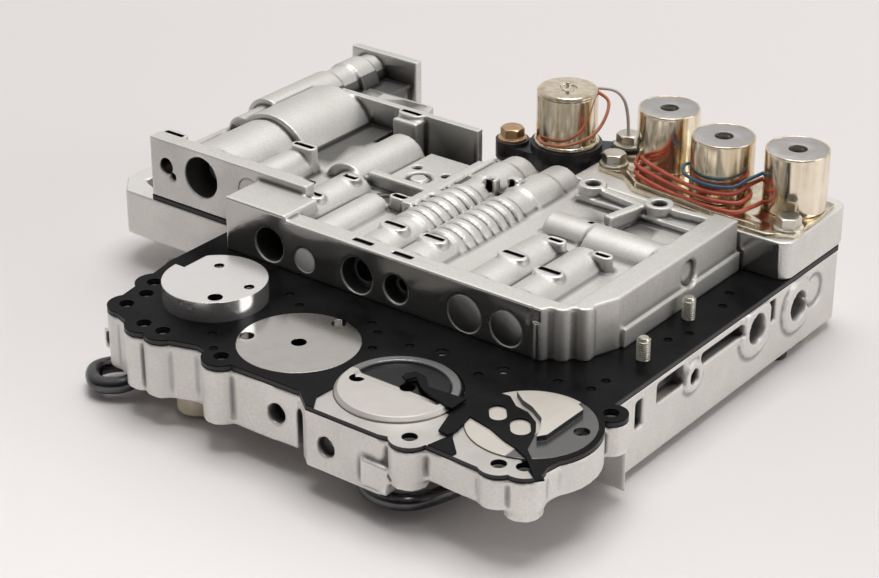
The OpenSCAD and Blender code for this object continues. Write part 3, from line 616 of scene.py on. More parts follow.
def cast_finish(name, pale, shade, milled=()):
    """Bead-blasted aluminium casting: fine grain, painted shade in hollows, slots, bores and deep
    pockets, painted highlight with wear on edges, smooth milled faces darkened as painted shade.
    """
    f = Finish(name)
    cloud = f.ramp(f.noise(45, 5, 0.65), 0.3, 0.7)
    tone = f.mix(cloud, shade, pale)
    grain = f.ramp(f.noise(1100, 3, 0.6), 0.35, 0.8)
    tone = f.mix(grain, tone, scaled(shade, 0.92))
    layer = f.attribute("cavity")
    # Hollows darker: painted shade
    tone = f.mix(f.ramp(layer, 0.47, 0.3), tone, scaled(shade, 0.22))
    # Edges lighter: wear and painted highlight
    tone = f.mix(f.ramp(layer, 0.65, 1.0), tone, scaled(pale, 1.05))
    # Deep holes and pockets darker: painted shade, like ambient occlusion
    tone = f.mix(f.ramp(f.attribute("open"), 0.62, 0.05), tone, scaled(shade, 0.08))
    # Keeper slots and bores near black: painted shade
    tone = f.mix(f.attribute("slot"), tone, (0.01, 0.01, 0.01))
    rough = f.blend_number(cloud, 0.58, 0.48)
    for place in milled:
        face = f.faces_at(place)
        # Milled faces are smooth, and darker as painted shade
        rough = f.choose(face, rough, 0.13)
        tone = f.mix(face, tone, scaled(pale, 0.62))
    f.bump(f.noise(1500, 3, 0.6), 0.28, 0.0001)
    f.bump(f.noise(260, 4, 0.55), 0.2, 0.00025)
    return f.done(tone, 0.9, rough)


def machined_finish(name, pale, shade, rough_low, rough_high, metallic=1.0, hole_shade_cover=None):
    """Turned or ground metal with faint tool marks and haze, and painted shade in the holes of a
    round cover.
    """
    f = Finish(name)
    haze = f.ramp(f.noise(160, 4, 0.6), 0.2, 0.85)
    tone = f.mix(haze, shade, pale)
    if hole_shade_cover:
        # Hole walls near black: painted shade
        tone = f.mix(f.hole_walls(hole_shade_cover), tone, (0.02, 0.02, 0.02))
    f.soft_edges(0.0004)
    f.bump(f.noise(2600, 2, 0.5), 0.08, 0.00004)
    return f.done(tone, metallic, f.blend_number(haze, rough_low, rough_high))


def plate_finish(name, pale, shade, edge):
    """Bare steel sheet whose upright cut edges are painted dark as shade."""
    f = Finish(name)
    haze = f.ramp(f.noise(90, 4, 0.6), 0.2, 0.85)
    # Upright faces take the edge colour: painted shade
    flat = f.ramp(f.facing("True Normal", "Z"), 0.3, 0.7)
    tone = f.mix(flat, edge, f.mix(haze, shade, pale))
    f.bump(f.noise(2400, 2, 0.5), 0.1, 0.00005)
    return f.done(tone, 0.85, f.blend_number(haze, 0.34, 0.5))


def gasket_finish(name, black, dust):
    """Coated gasket sheet: near black, smooth, with a little dust and oil."""
    f = Finish(name)
    film = f.ramp(f.noise(55, 5, 0.65), 0.35, 0.75)
    speck = f.ramp(f.noise(1300, 2, 0.5), 0.68, 0.76)
    tone = f.mix(speck, f.mix(film, black, dust), scaled(dust, 2.5))
    f.bump(f.noise(700, 3, 0.5), 0.08, 0.0001)
    return f.done(tone, 0.0, f.blend_number(film, 0.28, 0.42), 0.06)


def zinc_finish(name, pale, brown):
    """Yellow zinc plate with upright streaks and a faint orange peel."""
    f = Finish(name)
    streak = f.ramp(f.noise(1, 4, 0.6, stretch=(260, 260, 9)), 0.35, 0.7)
    cloud = f.ramp(f.noise(60, 4, 0.6), 0.45, 0.75)
    tone = f.mix(cloud, f.mix(streak, pale, brown), scaled(pale, 1.05))
    f.soft_edges(0.0005)
    f.bump(f.noise(1100, 2, 0.5), 0.06, 0.0001)
    return f.done(tone, 1.0, f.blend_number(streak, 0.13, 0.22))


def plastic_finish(name, colour, worn, rough):
    """Moulded plastic or insulation with small tone changes."""
    f = Finish(name)
    patch = f.ramp(f.noise(190, 4, 0.6), 0.4, 0.7)
    f.bump(f.noise(1700, 2, 0.5), 0.08, 0.0001)
    return f.done(f.mix(patch, colour, worn), 0.0, f.blend_number(patch, rough, rough + 0.12))


def cover_finish(name, node, behind, edge, pale, dark_reflection_and_shade, ring, ring_rough):
    """Pressed cover with painted reflection: bright before an edge and dark behind it, a raised
    land lighter as painted highlight, and painted shade in its holes.
    """
    f = Finish(name)
    raised_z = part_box(node)[1].z
    land = f.ramp(f.axis(f.place, "Z"), raised_z - 0.0006, raised_z - 0.0003)
    depth = f.vector("DOT_PRODUCT", f.place, behind)["Value"]
    front = f.ramp(depth, edge + 0.0003, edge - 0.0003)
    haze = f.ramp(f.noise(120, 4, 0.6), 0.3, 0.75)
    # Bright before the edge and dark behind it: painted reflection; the raised land lighter:
    # painted highlight
    tone = f.mix(front, f.mix(land, dark_reflection_and_shade, ring), f.mix(haze, pale, scaled(pale, 0.93)))
    # Hole walls darker: painted shade
    tone = f.mix(f.hole_walls(node), tone, scaled(dark_reflection_and_shade, 0.5))
    f.soft_edges(0.0006)
    f.bump(f.noise(2200, 2, 0.5), 0.1, 0.00005)
    rough = f.choose(land, f.blend_number(haze, 0.2, 0.28), ring_rough)
    return f.done(tone, 0.85, f.choose(front, rough, 0.45))


# Name, pale and dark tone, lowest and highest roughness, then metallic and a cover whose holes get
# painted shade
MACHINED = {
    "cap": (
        "bright_cover", (0.95, 0.93, 0.92), (0.90, 0.885, 0.87), 0.17, 0.23, 0.85,
        "accumulator_cap",
    ),
    "dull_cover": (
        "oiled_cover", (0.66, 0.64, 0.61), (0.58, 0.56, 0.53), 0.14, 0.2, 1.0,
        "accumulator_cover_left",
    ),
    "steel": ("ground_steel", (0.82, 0.81, 0.79), (0.62, 0.61, 0.60), 0.24, 0.4),
    "plug": ("turned_plug", (0.66, 0.65, 0.63), (0.45, 0.45, 0.44), 0.28, 0.42),
    "bright_plug": ("bright_plug", (0.95, 0.93, 0.90), (0.90, 0.88, 0.85), 0.35, 0.45, 0.0),
    # Dark steel; on the pistons and keepers its darkness is painted shade
    "dark_steel": ("dark_steel", (0.30, 0.30, 0.31), (0.14, 0.14, 0.15), 0.3, 0.45),
    "grey_cap": ("grey_cap", (0.50, 0.48, 0.47), (0.40, 0.39, 0.38), 0.42, 0.55, 0.7),
    "brass": ("amber_zinc", (0.72, 0.50, 0.29), (0.50, 0.32, 0.17), 0.26, 0.4),
    "silver": ("pale_zinc", (0.82, 0.79, 0.70), (0.58, 0.55, 0.47), 0.26, 0.42),
    "tube": ("oiled_tube", (0.16, 0.16, 0.165), (0.07, 0.07, 0.075), 0.18, 0.3),
}
# Name, colour, worn colour and roughness
PLASTIC = {
    "black": ("black_moulding", (0.012, 0.012, 0.014), (0.035, 0.035, 0.037), 0.35),
    "red": ("red_insulation", (0.52, 0.085, 0.045), (0.62, 0.16, 0.10), 0.38),
    "blue": ("blue_insulation", (0.02, 0.10, 0.19), (0.05, 0.19, 0.29), 0.38),
    "orange": ("orange_insulation", (0.58, 0.17, 0.075), (0.68, 0.30, 0.18), 0.38),
    "white": ("white_insulation", (0.74, 0.66, 0.64), (0.66, 0.56, 0.54), 0.42),
    "cream": ("cream_moulding", (0.78, 0.72, 0.55), (0.68, 0.60, 0.44), 0.4),
}
FINISHES = {}


def make_finishes(look):
    pale, shade = tuple(look.casting_pale), tuple(look.casting_shade)
    # Paler copy of the casting tones for the lower casting and the solenoid block: painted light
    lit_pale, soft = scaled(pale, 1.1), scaled(shade, 1.16)
    block_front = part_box("solenoid_block")[0].y
    ringed, padded = "accumulator_cover_middle", "accumulator_cover_right"
    cream = (0.72, 0.68, 0.62)
    FINISHES.update(
        cast=cast_finish("cast_aluminium", lit_pale, soft),
        # The block's front face and the upper casting's main front face are smooth and painted
        # darker as shade
        milled_block=cast_finish("milled_block", lit_pale, soft, [block_front]),
        milled_cast=cast_finish("milled_aluminium", pale, shade, [at(0, 0, 0).y]),
        gasket=gasket_finish("coated_gasket", (0.004, 0.004, 0.0045), (0.012, 0.012, 0.0125)),
        # The plate's last colour is the painted shade of its cut edges
        plate=plate_finish(
            "bare_plate", (0.66, 0.635, 0.60), (0.58, 0.555, 0.52), (0.05, 0.05, 0.05)
        ),
        # The covers' bright front, dark back and lighter raised land are painted reflection and
        # highlight
        ring_cover=cover_finish(
            "ringed_cover", ringed, (0, 1, 0), node_middle(ringed).y + 0.001,
            (0.68, 0.65, 0.61), (0.03, 0.03, 0.032), (0.28, 0.28, 0.28), 0.22,
        ),
        pad_cover=cover_finish(
            "padded_cover", padded, (1, 0, 0), node_middle(padded).x + 0.006,
            cream, (0.20, 0.20, 0.20), cream, 0.45,
        ),
        zinc=zinc_finish("yellow_zinc", tuple(look.zinc_pale), tuple(look.zinc_brown)),
    )
    for key, values in MACHINED.items():
        FINISHES[key] = machined_finish(*values)
    for key, values in PLASTIC.items():
        FINISHES[key] = plastic_finish(*values)


def paint(piece, name):
    piece.data.materials.clear()
    piece.data.materials.append(FINISHES[name])


def dress(node, name, bevel=0.0):
    """Gives a CAD node its finish and, where asked, small rounded edges in millimetres."""
    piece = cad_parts[node]
    paint(piece, name)
    piece.data.polygons.foreach_set("use_smooth", [True] * len(piece.data.polygons))
    weld = piece.modifiers.new("weld", "WELD")
    weld.merge_threshold = SAME_POINT
    if bevel:
        flat = piece.modifiers.new("flat", "DECIMATE")
        flat.decimate_type = "DISSOLVE"
        flat.angle_limit = math.radians(0.6)
        edge = piece.modifiers.new("edge", "BEVEL")
        edge.width = bevel / 1000
        edge.segments = 2
        edge.limit_method = "ANGLE"
        edge.angle_limit = math.radians(40)
        edge.harden_normals = True
    else:
        split = piece.modifiers.new("split", "EDGE_SPLIT")
        split.split_angle = math.radians(SHARP)


def mount(piece, name, node):
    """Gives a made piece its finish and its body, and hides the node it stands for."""
    paint(piece, name)
    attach(piece, ROOT)
    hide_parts(node)


# Geometry Nodes trees

TREES = {}


def new_tree(name, **inputs):
    """Tree with a material and other inputs, given as kinds by name, and its input sockets."""
    tree = bpy.data.node_groups.new(name, "GeometryNodeTree")
    tree.interface.new_socket("Geometry", in_out="OUTPUT", socket_type="NodeSocketGeometry")
    for label, kind in {"Geometry": "Geometry", **inputs, "Material": "Material"}.items():
        kind = "NodeSocket" + kind
        tree.interface.new_socket(label.replace("_", " "), in_out="INPUT", socket_type=kind)
    g = Nodes(tree)
    return g, g.add("NodeGroupInput").outputs


def end_tree(g, given, geometry):
    """Realize Instances and Set Material at the end of a tree."""
    real = g.add("GeometryNodeRealizeInstances", geometry).outputs["Geometry"]
    colour = g.add("GeometryNodeSetMaterial", Geometry=real, Material=given["Material"])
    g.add("NodeGroupOutput", colour.outputs["Geometry"])
    return g.tree


def coil_tree():
    """Wire wound on a helix, for springs and screw threads."""
    g, given = new_tree(
        "wound_wire",
        Turns="Float", Radius="Float", Length="Float", Wire_Radius="Float", Wire_Sides="Int",
    )
    around = given["Radius"]
    helix = g.add(
        "GeometryNodeCurveSpiral",
        Resolution=28, Rotations=given["Turns"], Height=given["Length"],
        Start_Radius=around, End_Radius=around,
    )
    section = g.add(
        "GeometryNodeCurvePrimitiveCircle",
        Resolution=given["Wire Sides"], Radius=given["Wire Radius"],
    )
    swept = g.add(
        "GeometryNodeCurveToMesh",
        Curve=helix.outputs["Curve"], Profile_Curve=section.outputs["Curve"], Fill_Caps=True,
    )
    return end_tree(g, given, swept.outputs["Mesh"])


def repeat_tree():
    """One master piece set on every point of a small point mesh."""
    g, given = new_tree("set_on_points", Master="Object")
    master = g.add("GeometryNodeObjectInfo", Object=given["Master"]).outputs["Geometry"]
    copies = g.add("GeometryNodeInstanceOnPoints", Points=given["Geometry"], Instance=master)
    return end_tree(g, given, copies.outputs["Instances"])


def run_tree(piece, tree, values):
    """Runs a tree on a piece with the given inputs and keeps the plain mesh."""
    modifier = piece.modifiers.new(tree.name, "NODES")
    modifier.node_group = tree
    for item in tree.interface.items_tree:
        if item.in_out == "INPUT" and item.name in values:
            modifier[item.identifier] = values[item.name]
    settle(piece)


def coil(name, centre, turn, turns, radius, length, thick, material, sides=10):
    """Wound wire in millimetres, standing on its lower end."""
    piece = add_object(name, bpy.data.meshes.new(name))
    values = {
        "Turns": float(turns),
        "Radius": radius / 1000,
        "Length": length / 1000,
        "Wire Radius": thick / 2000,
        "Wire Sides": sides,
        "Material": FINISHES[material],
    }
    run_tree(piece, TREES["coil"], values)
    piece.data.transform(Matrix.Translation(centre) @ turn.to_4x4())
    close(piece.data)
    return piece


def set_on_points(name, master, places, material):
    """Copies of a master piece at the given points."""
    points = bpy.data.meshes.new(name)
    points.from_pydata([tuple(p) for p in places], [], [])
    piece = add_object(name, points)
    run_tree(piece, TREES["repeat"], {"Master": master, "Material": FINISHES[material]})
    bpy.data.objects.remove(master)
    smooth(piece.data)
    return piece


def add_spring(name, node, axis, turn, turns, radius, thick):
    """Spring in place of a CAD one, from its low end along an axis."""
    low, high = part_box(node)
    k = axis.index(1)
    length = (high[k] - low[k]) * 1000
    foot = (low + high) / 2
    anchor = foot.copy()
    anchor[k] = low[k]
    foot[k] = low[k] + thick / 2000
    spring = coil(name, foot, turn, turns, radius, length - thick, thick, "steel")
    mount(spring, "steel", node)
    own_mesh(spring)


# Settings


class ValveBodyLook(bpy.types.PropertyGroup):
    casting_pale: FloatVectorProperty(
        name="Casting pale", description="Lightest tone of the castings",
        subtype="COLOR", default=(0.79, 0.775, 0.745),
    )
    casting_shade: FloatVectorProperty(
        name="Casting shade", description="Darker tone of the castings",
        subtype="COLOR", default=(0.66, 0.645, 0.615),
    )
    zinc_pale: FloatVectorProperty(
        name="Zinc pale", description="Light tone of the zinc plating",
        subtype="COLOR", default=(0.92, 0.84, 0.69),
    )
    zinc_brown: FloatVectorProperty(
        name="Zinc brown", description="Dark tone of the zinc plating",
        subtype="COLOR", default=(0.62, 0.49, 0.32),
    )
    floor: FloatVectorProperty(
        name="Floor", description="Colour of the pale floor",
        subtype="COLOR", default=(0.80, 0.765, 0.76),
    )


class ValveBodySizes(bpy.types.PropertyGroup):
    cast_voxel: FloatProperty(
        name="Casting grid", description="Grid that the castings' soft corners are made on, mm",
        default=0.62, min=0.4, max=2,
    )
    cast_rounds: IntProperty(
        name="Corner rounds", description="How far the castings' corners soften",
        default=3, min=1, max=12,
    )
    cast_fillets: IntProperty(
        name="Fillets", description="How far the hollows between the valve bosses fill",
        default=14, min=1, max=40,
    )
    thread_pitch: FloatProperty(
        name="Thread pitch", description="Pitch of the bolts' threads, mm",
        default=1.0, min=0.5, max=2,
    )
    lead_sides: IntProperty(
        name="Lead sides", description="Sides of a lead's round section",
        default=14, min=8, max=32,
    )


# Stage

# Name, place, aim, width, height, power and spread in degrees
LAMPS = (
    ("top_softbox", (0.0, 0.45, 3.0), (0.0, 0.0, 0.0), 2.0, 1.6, 53, 180),
    ("right_softbox", (1.9, 0.7, 0.8), (0, 0, 0.03), 1.2, 0.8, 9, 180),
    ("front_softbox", (0.16, -0.3, 1.1), (0.16, -0.29, 0), 0.7, 0.3, 0.26, 36),
)
BRIGHT_SIDE = (-0.5, 0.72, 0.48)
ROOM_DARK, ROOM_PALE = (0.06, 0.06, 0.06, 1), (0.76, 0.74, 0.725, 1)
ROOM_STRENGTH = 0.9
BACKDROP = (0.82, 0.785, 0.78, 1)
FLOOR_HALF = 6
SENSOR, FOCAL_PIXELS, PICTURE_WIDTH = 36, 2280, 879
CAMERA_AT = (422.976, -672.994, 450)
CAMERA_YAW, CAMERA_PITCH = 37.6, 27


class VALVEBODY_OT_stage(bpy.types.Operator):
    """Pale floor, soft light, world and the camera"""

    bl_idname = "valve_body.stage"
    bl_label = "Stage"

    def execute(self, context):
        scene = context.scene
        scene.view_settings.view_transform = "Standard"
        tone = tuple(scene.valve_body_look.floor)
        h = FLOOR_HALF
        corners = [(-h, -h, 0), (h, -h, 0), (h, h, 0), (-h, h, 0)]
        floor = add_object("floor", mesh_of("floor", corners, [(0, 1, 2, 3)]))
        floor.location.z = CAD_LOW.z
        f = Finish("pale_floor")
        cloud = f.ramp(f.noise(1.5, 2, 0.5), 0.3, 0.7)
        # Floor darker towards the front: painted shade
        near = f.ramp(f.axis(f.place, "Y"), 0.6, -0.6)
        shade = f.mix(cloud, tone, scaled(tone, 1.02))
        floor.data.materials.append(f.done(f.mix(near, shade, scaled(tone, 0.93)), 0.0, 0.6))
        world = bpy.data.worlds.new("studio")
        scene.world = world
        world.use_nodes = True
        self.sky(world.node_tree)
        for lamp in LAMPS:
            self.lamp(scene, *lamp)
        self.camera(scene)
        return {"FINISHED"}

    def sky(self, tree):
        """Bright wall behind, darker room in front, for the metal to mirror."""
        g = Nodes(tree)
        way = g.add("ShaderNodeTexCoord").outputs["Generated"]
        toward = g.vector("DOT_PRODUCT", way, Vector(BRIGHT_SIDE).normalized())["Value"]
        lift = g.add("ShaderNodeMapRange", Value=toward, From_Min=-1)
        ramp = g.add("ShaderNodeValToRGB", lift.outputs["Result"])
        dark, pale = ramp.color_ramp.elements
        dark.position, dark.color = 0.3, ROOM_DARK
        pale.position, pale.color = 0.92, ROOM_PALE
        room = tree.nodes["Background"]
        g.put(ramp.outputs["Color"], room.inputs["Color"])
        g.put(ROOM_STRENGTH, room.inputs["Strength"])
        seen = g.add("ShaderNodeBackground", BACKDROP)
        direct = g.add("ShaderNodeLightPath").outputs["Is Camera Ray"]
        both = g.add("ShaderNodeMixShader", direct, room.outputs[0], seen.outputs[0])
        g.put(both.outputs[0], tree.nodes["World Output"].inputs["Surface"])

    def lamp(self, scene, name, place, aim, wide, high, power, spread):
        data = bpy.data.lights.new(name, "AREA")
        data.shape = "RECTANGLE"
        data.size, data.size_y, data.energy = wide, high, power
        data.spread = math.radians(spread)
        self.aimed(scene, name, data, place, Vector(aim) - Vector(place))

    def camera(self, scene):
        data = bpy.data.cameras.new("camera")
        data.sensor_width = SENSOR
        data.lens = SENSOR * FOCAL_PIXELS / PICTURE_WIDTH
        data.clip_start, data.clip_end = 0.01, 50
        yaw, pitch = math.radians(CAMERA_YAW), math.radians(CAMERA_PITCH)
        flat = math.cos(pitch)
        ahead = Vector((-math.sin(yaw) * flat, math.cos(yaw) * flat, -math.sin(pitch)))
        scene.camera = self.aimed(scene, "camera", data, at(*CAMERA_AT), ahead)

    def aimed(self, scene, name, data, place, ahead):
        made = bpy.data.objects.new(name, data)
        scene.collection.objects.link(made)
        made.location = place
        made.rotation_mode = "QUATERNION"
        made.rotation_quaternion = ahead.to_track_quat("-Z", "Y")
        return made


# Pieces

BORE_Z, LEFT_BORE = 9.5, (22.5, 17.5)  # height of the bores, depth and height of the left ones
MAIN_BORES = (-190.5, -140.5, -119, -82.5, -61, -170)
MAIN_BORE_R = 0.0105
LEFT_BORES = ((-252, 0.0125), (-222, 0.009), (-274, 0.0055))
# Keeper slots without a plate: x, y, width, depth and floor
EMPTY_SLOTS = (
    (-188, 54, 6, 1.6, 20),
    (-157, 51, 6, 1.6, 20),
    (-76, 57, 6, 1.6, 20),
    (-52, 57, 6, 1.6, 20),
    (-74.5, 86, 2, 10, 20),
    (-276, 31.5, 10, 1.6, 25),
    (-219, 58, 10, 1.6, 25),
    (-204, 119.5, 10, 1.6, 25),
    (-133.5, 87, 2.4, 3, 20),
    (-125, 93, 2.4, 3, 20),
)
SLOT_TALL = 10
# Most triangles of the castings
UPPER_BUDGET, LOWER_BUDGET, BLOCK_BUDGET = 190000, 120000, 40000
LOWER_GRID = 1.5


class VALVEBODY_OT_castings(bpy.types.Operator):
    """Upper and lower castings and the solenoid block"""

    bl_idname = "valve_body.castings"
    bl_label = "Castings"

    def execute(self, context):
        sizes = context.scene.valve_body_sizes
        grid, rounds = sizes.cast_voxel, sizes.cast_rounds
        main, left = at(0, 0, BORE_Z), at(0, *LEFT_BORE)
        bores = [(at(x, 0, 0).x, main.z, MAIN_BORE_R, main.y) for x in MAIN_BORES]
        bores += [(at(x, 0, 0).x, left.z, r, left.y) for x, r in LEFT_BORES]
        slots = parts_of("keeper_plates")
        slots += [
            (at(x - w / 2, y - d / 2, z), at(x + w / 2, y + d / 2, z + SLOT_TALL))
            for x, y, w, d, z in EMPTY_SLOTS
        ]
        fillets = sizes.cast_fillets
        upper = cast_form("upper_body", grid, rounds, UPPER_BUDGET, fillets, bores, slots)
        mount(upper, "milled_cast", "upper_body")
        lower = cast_form("lower_body", grid * LOWER_GRID, rounds - 1, LOWER_BUDGET)
        for i in range(1, 5):
            make_room(lower.data, f"accumulator_piston_{i}")
        mount(lower, "cast", "lower_body")
        block = cast_form("solenoid_block", grid, rounds, BLOCK_BUDGET)
        mount(block, "milled_block", "solenoid_block")
        return {"FINISHED"}


class VALVEBODY_OT_plate_stack(bpy.types.Operator):
    """Separator plate, its gaskets and the eyelet strap"""

    bl_idname = "valve_body.plate_stack"
    bl_label = "Plate stack"

    def execute(self, context):
        dress("separator_plate", "plate")
        for node in ("upper_gasket", "lower_gasket", "eyelet_strap"):
            dress(node, "gasket")
        return {"FINISHED"}


class VALVEBODY_OT_accumulators(bpy.types.Operator):
    """Accumulator covers, pistons and piston springs"""

    bl_idname = "valve_body.accumulators"
    bl_label = "Accumulators"

    def execute(self, context):
        dress("accumulator_cap", "cap")
        dress("accumulator_cover_left", "dull_cover")
        dress("accumulator_cover_middle", "ring_cover")
        dress("accumulator_cover_right", "pad_cover")
        for i in range(1, 5):
            # Pistons dark: painted shade where they show through the covers' holes
            dress(f"accumulator_piston_{i}", "dark_steel")
            add_spring(
                f"piston_spring_{i}", f"accumulator_spring_{i}",
                (0, 0, 1), UPRIGHT, 3, 11.6, 1.8,
            )
        return {"FINISHED"}


class VALVEBODY_OT_valves(bpy.types.Operator):
    """Spools, their springs, the manual valve, plugs and keepers"""

    bl_idname = "valve_body.valves"
    bl_label = "Valves"

    def execute(self, context):
        for i in range(1, 6):
            dress(f"spool_valve_{i}", "steel")
            add_spring(
                f"spool_spring_{i}", f"valve_spring_{i}",
                (0, 1, 0), ALONG_BORE, 5, 4.4, 1.2,
            )
        dress("manual_valve", "steel", 0.3)
        dress("deep_plug", "dark_steel", 0.3)
        dress("hollow_plugs", "dark_steel", 0.3)
        dress("flush_plugs", "plug", 0.4)
        dress("blank_plugs", "bright_plug", 0.4)
        # Keepers dark: painted shade in their slots
        dress("keeper_plates", "dark_steel")
        return {"FINISHED"}


class VALVEBODY_OT_solenoids(bpy.types.Operator):
    """Solenoid cans, caps, plungers, bracket and the line solenoid's base"""

    bl_idname = "valve_body.solenoids"
    bl_label = "Solenoids"

    def can(self, node):
        """Radius and height of a can in millimetres, and the middle of its foot."""
        low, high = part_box(node)
        foot = (low + high) / 2
        foot.z = low.z
        return (high.x - low.x) * 500, (high.z - low.z) * 1000, foot

    def execute(self, context):
        bore, floor, sunk = 5.05, 3, 1.6
        for i in range(1, 4):
            node = f"shift_solenoid_{i}"
            r, h, foot = self.can(node)
            body = [(0, 0), (r - 0.4, 0), (r, 0.6), (r, h - 1.2), (r - 0.2, h), (r - 1.1, h)]
            body += [(r - 1.1, h - sunk), (bore, h - sunk), (bore, floor), (0, floor)]
            mount(lathe(f"solenoid_can_{i}", rounded(body, 0.5), foot), "zinc", node)
            dress(f"plunger_{i}", "dark_steel")
        dress("solenoid_end_caps", "grey_cap", 0.25)
        wide, h, foot = self.can("line_solenoid_can")
        r = wide - 1
        body = rounded([(0, 0), (r + 1, 0), (r + 1, 1.5), (r, 2.2), (r, h), (0, h)], 0.5)
        mount(lathe("line_can", body, foot), "zinc", "line_solenoid_can")
        lid = [(0, 0), (r - 0.15, 0), (r, 0.5), (r, 0.9), (r - 1.0, 2.0), (4.5, 2.0)]
        lid = rounded(lid + [(4.5, 1.0), (0, 1.0)], 0.6)
        top = foot + Vector((0, 0, h / 1000))
        mount(lathe("line_lid", lid, top), "zinc", "line_solenoid_cap")
        dress("line_solenoid_pin", "silver", 0.2)
        dress("line_solenoid_base", "black", 0.6)
        dress("solenoid_bracket", "zinc", 0.5)
        return {"FINISHED"}


HEX_SIDES = 48
HEX_FLATS, HEX_TALL = 10, 4.5
THREAD_D = 6
FLANGE_D, FLANGE_T = 14, 1.4
THREAD_LONG = 23
EAR_BELOW = 0.002  # metres from the top of the line solenoid's base down to its ears
CASE_SCREWS_AT = ((-8, 152), (-120, 140), (-222, 92), (-206, 40), (-155.5, 22))
LONG_BOLTS_AT = ((-11.5, 28), (-16, 70))


class VALVEBODY_OT_fasteners(bpy.types.Operator):
    """Flange bolts, long bolts with their threads, and the screws below"""

    bl_idname = "valve_body.fasteners"
    bl_label = "Fasteners"

    def hexagon(self, name, shank=0):
        """Hexagon head with turned corners, over a flange where a shank hangs below it."""
        half, sixth = HEX_FLATS / 2, math.pi / 6
        angles = round_angles(HEX_SIDES)
        across = [half / math.cos((a + sixth) % (2 * sixth) - sixth) for a in angles]
        base = FLANGE_T if shank else 0
        crown = base + HEX_TALL
        turned = []
        if shank:
            r, wide = THREAD_D / 2, FLANGE_D / 2
            turned = [(r - 0.5, -shank), (r, 0.5 - shank), (r, 0)]
            turned += [(wide - 0.2, 0), (wide, 0.3), (wide - 0.3, base * 0.7)]
        rings = [[pair] * HEX_SIDES for pair in turned]
        rings.append([(r, base) for r in across])
        rings.append([(r, crown - 0.15 - max(0, r - half) * 0.75) for r in across])
        rings += [[(half * 0.94, crown)] * HEX_SIDES, [(half * 0.55, crown - 0.1)] * HEX_SIDES]
        points = [
            (r * math.cos(a) / 1000, r * math.sin(a) / 1000, z / 1000)
            for ring in rings
            for a, (r, z) in zip(angles, ring)
        ]
        faces = skin(ring_numbers(len(rings), HEX_SIDES))
        mesh = mesh_of(name, points, faces, HEAD_SHARP)
        close(mesh)
        smooth(mesh, HEAD_SHARP)
        return add_object(name, mesh)

    def hung_bolt(self, name, length, radius, chamfer, tip):
        """Bolt whose head is below and whose shank stands up."""
        bolt = self.hexagon(name)
        shank = [(0, HEX_TALL), (radius, HEX_TALL), (radius, length - chamfer)]
        join(bolt, lathe(name + "_shank", shank + [(tip, length), (0, length)], Vector()))
        for v in bolt.data.vertices:
            if v.co.z <= HEX_TALL / 1000 + SAME_POINT and v.co.xy.length > 0.0:
                v.co.z = HEX_TALL / 1000 - v.co.z
        close(bolt.data)
        smooth(bolt.data, HEAD_SHARP)
        return bolt

    def fit(self, name, master, spots, material, node, slot):
        """Sets a bolt on points of the drawing, each at its own height in metres."""
        places = [Vector((*at(x, y, 0).xy, z)) for x, y, z in spots]
        mount(set_on_points(name, master, places, material), material, node)

    def execute(self, context):
        pitch = context.scene.valve_body_sizes.thread_pitch
        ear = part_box("line_solenoid_base")[1].z - EAR_BELOW
        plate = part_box("shift_solenoid_1")[0].z
        spots = [(-7, 136, plate), (-106, 147, plate), (-112, 168, ear)]
        bolt = self.hexagon("flange_bolt", 10)
        self.fit("bracket_flange_bolts", bolt, spots, "silver", "bracket_bolts", "fastener")
        bolt = self.hexagon("ear_bolt", 16)
        spots = [(-160, 141, ear)]
        self.fit("base_flange_bolt", bolt, spots, "brass", "base_bolt", "brass_bolt")
        low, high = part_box("case_screws")
        screw = self.hung_bolt("screw", (high.z - low.z) * 1000, 3, 0.6, 2.4)
        spots = [(x, y, low.z) for x, y in CASE_SCREWS_AT]
        self.fit("case_hex_screws", screw, spots, "silver", "case_screws", "fastener")
        low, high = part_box("through_bolts")
        length = (high.z - low.z) * 1000
        bolt = self.hung_bolt("long_bolt", length, 2.62, 1, 1.9)
        foot = Vector((0, 0, (length - THREAD_LONG - 1) / 1000))
        turns = THREAD_LONG / pitch
        thread = coil(
            "long_thread", foot, UPRIGHT, turns, 2.72, THREAD_LONG, 0.56, "silver", sides=6
        )
        join(bolt, thread)
        spots = [(x, y, low.z) for x, y in LONG_BOLTS_AT]
        self.fit("threaded_long_bolts", bolt, spots, "silver", "through_bolts", "fastener")
        return {"FINISHED"}


LEAD_END = 13.8  # from a can's middle to a lead's end
RED_R, THIN_R = 0.001, 0.0008


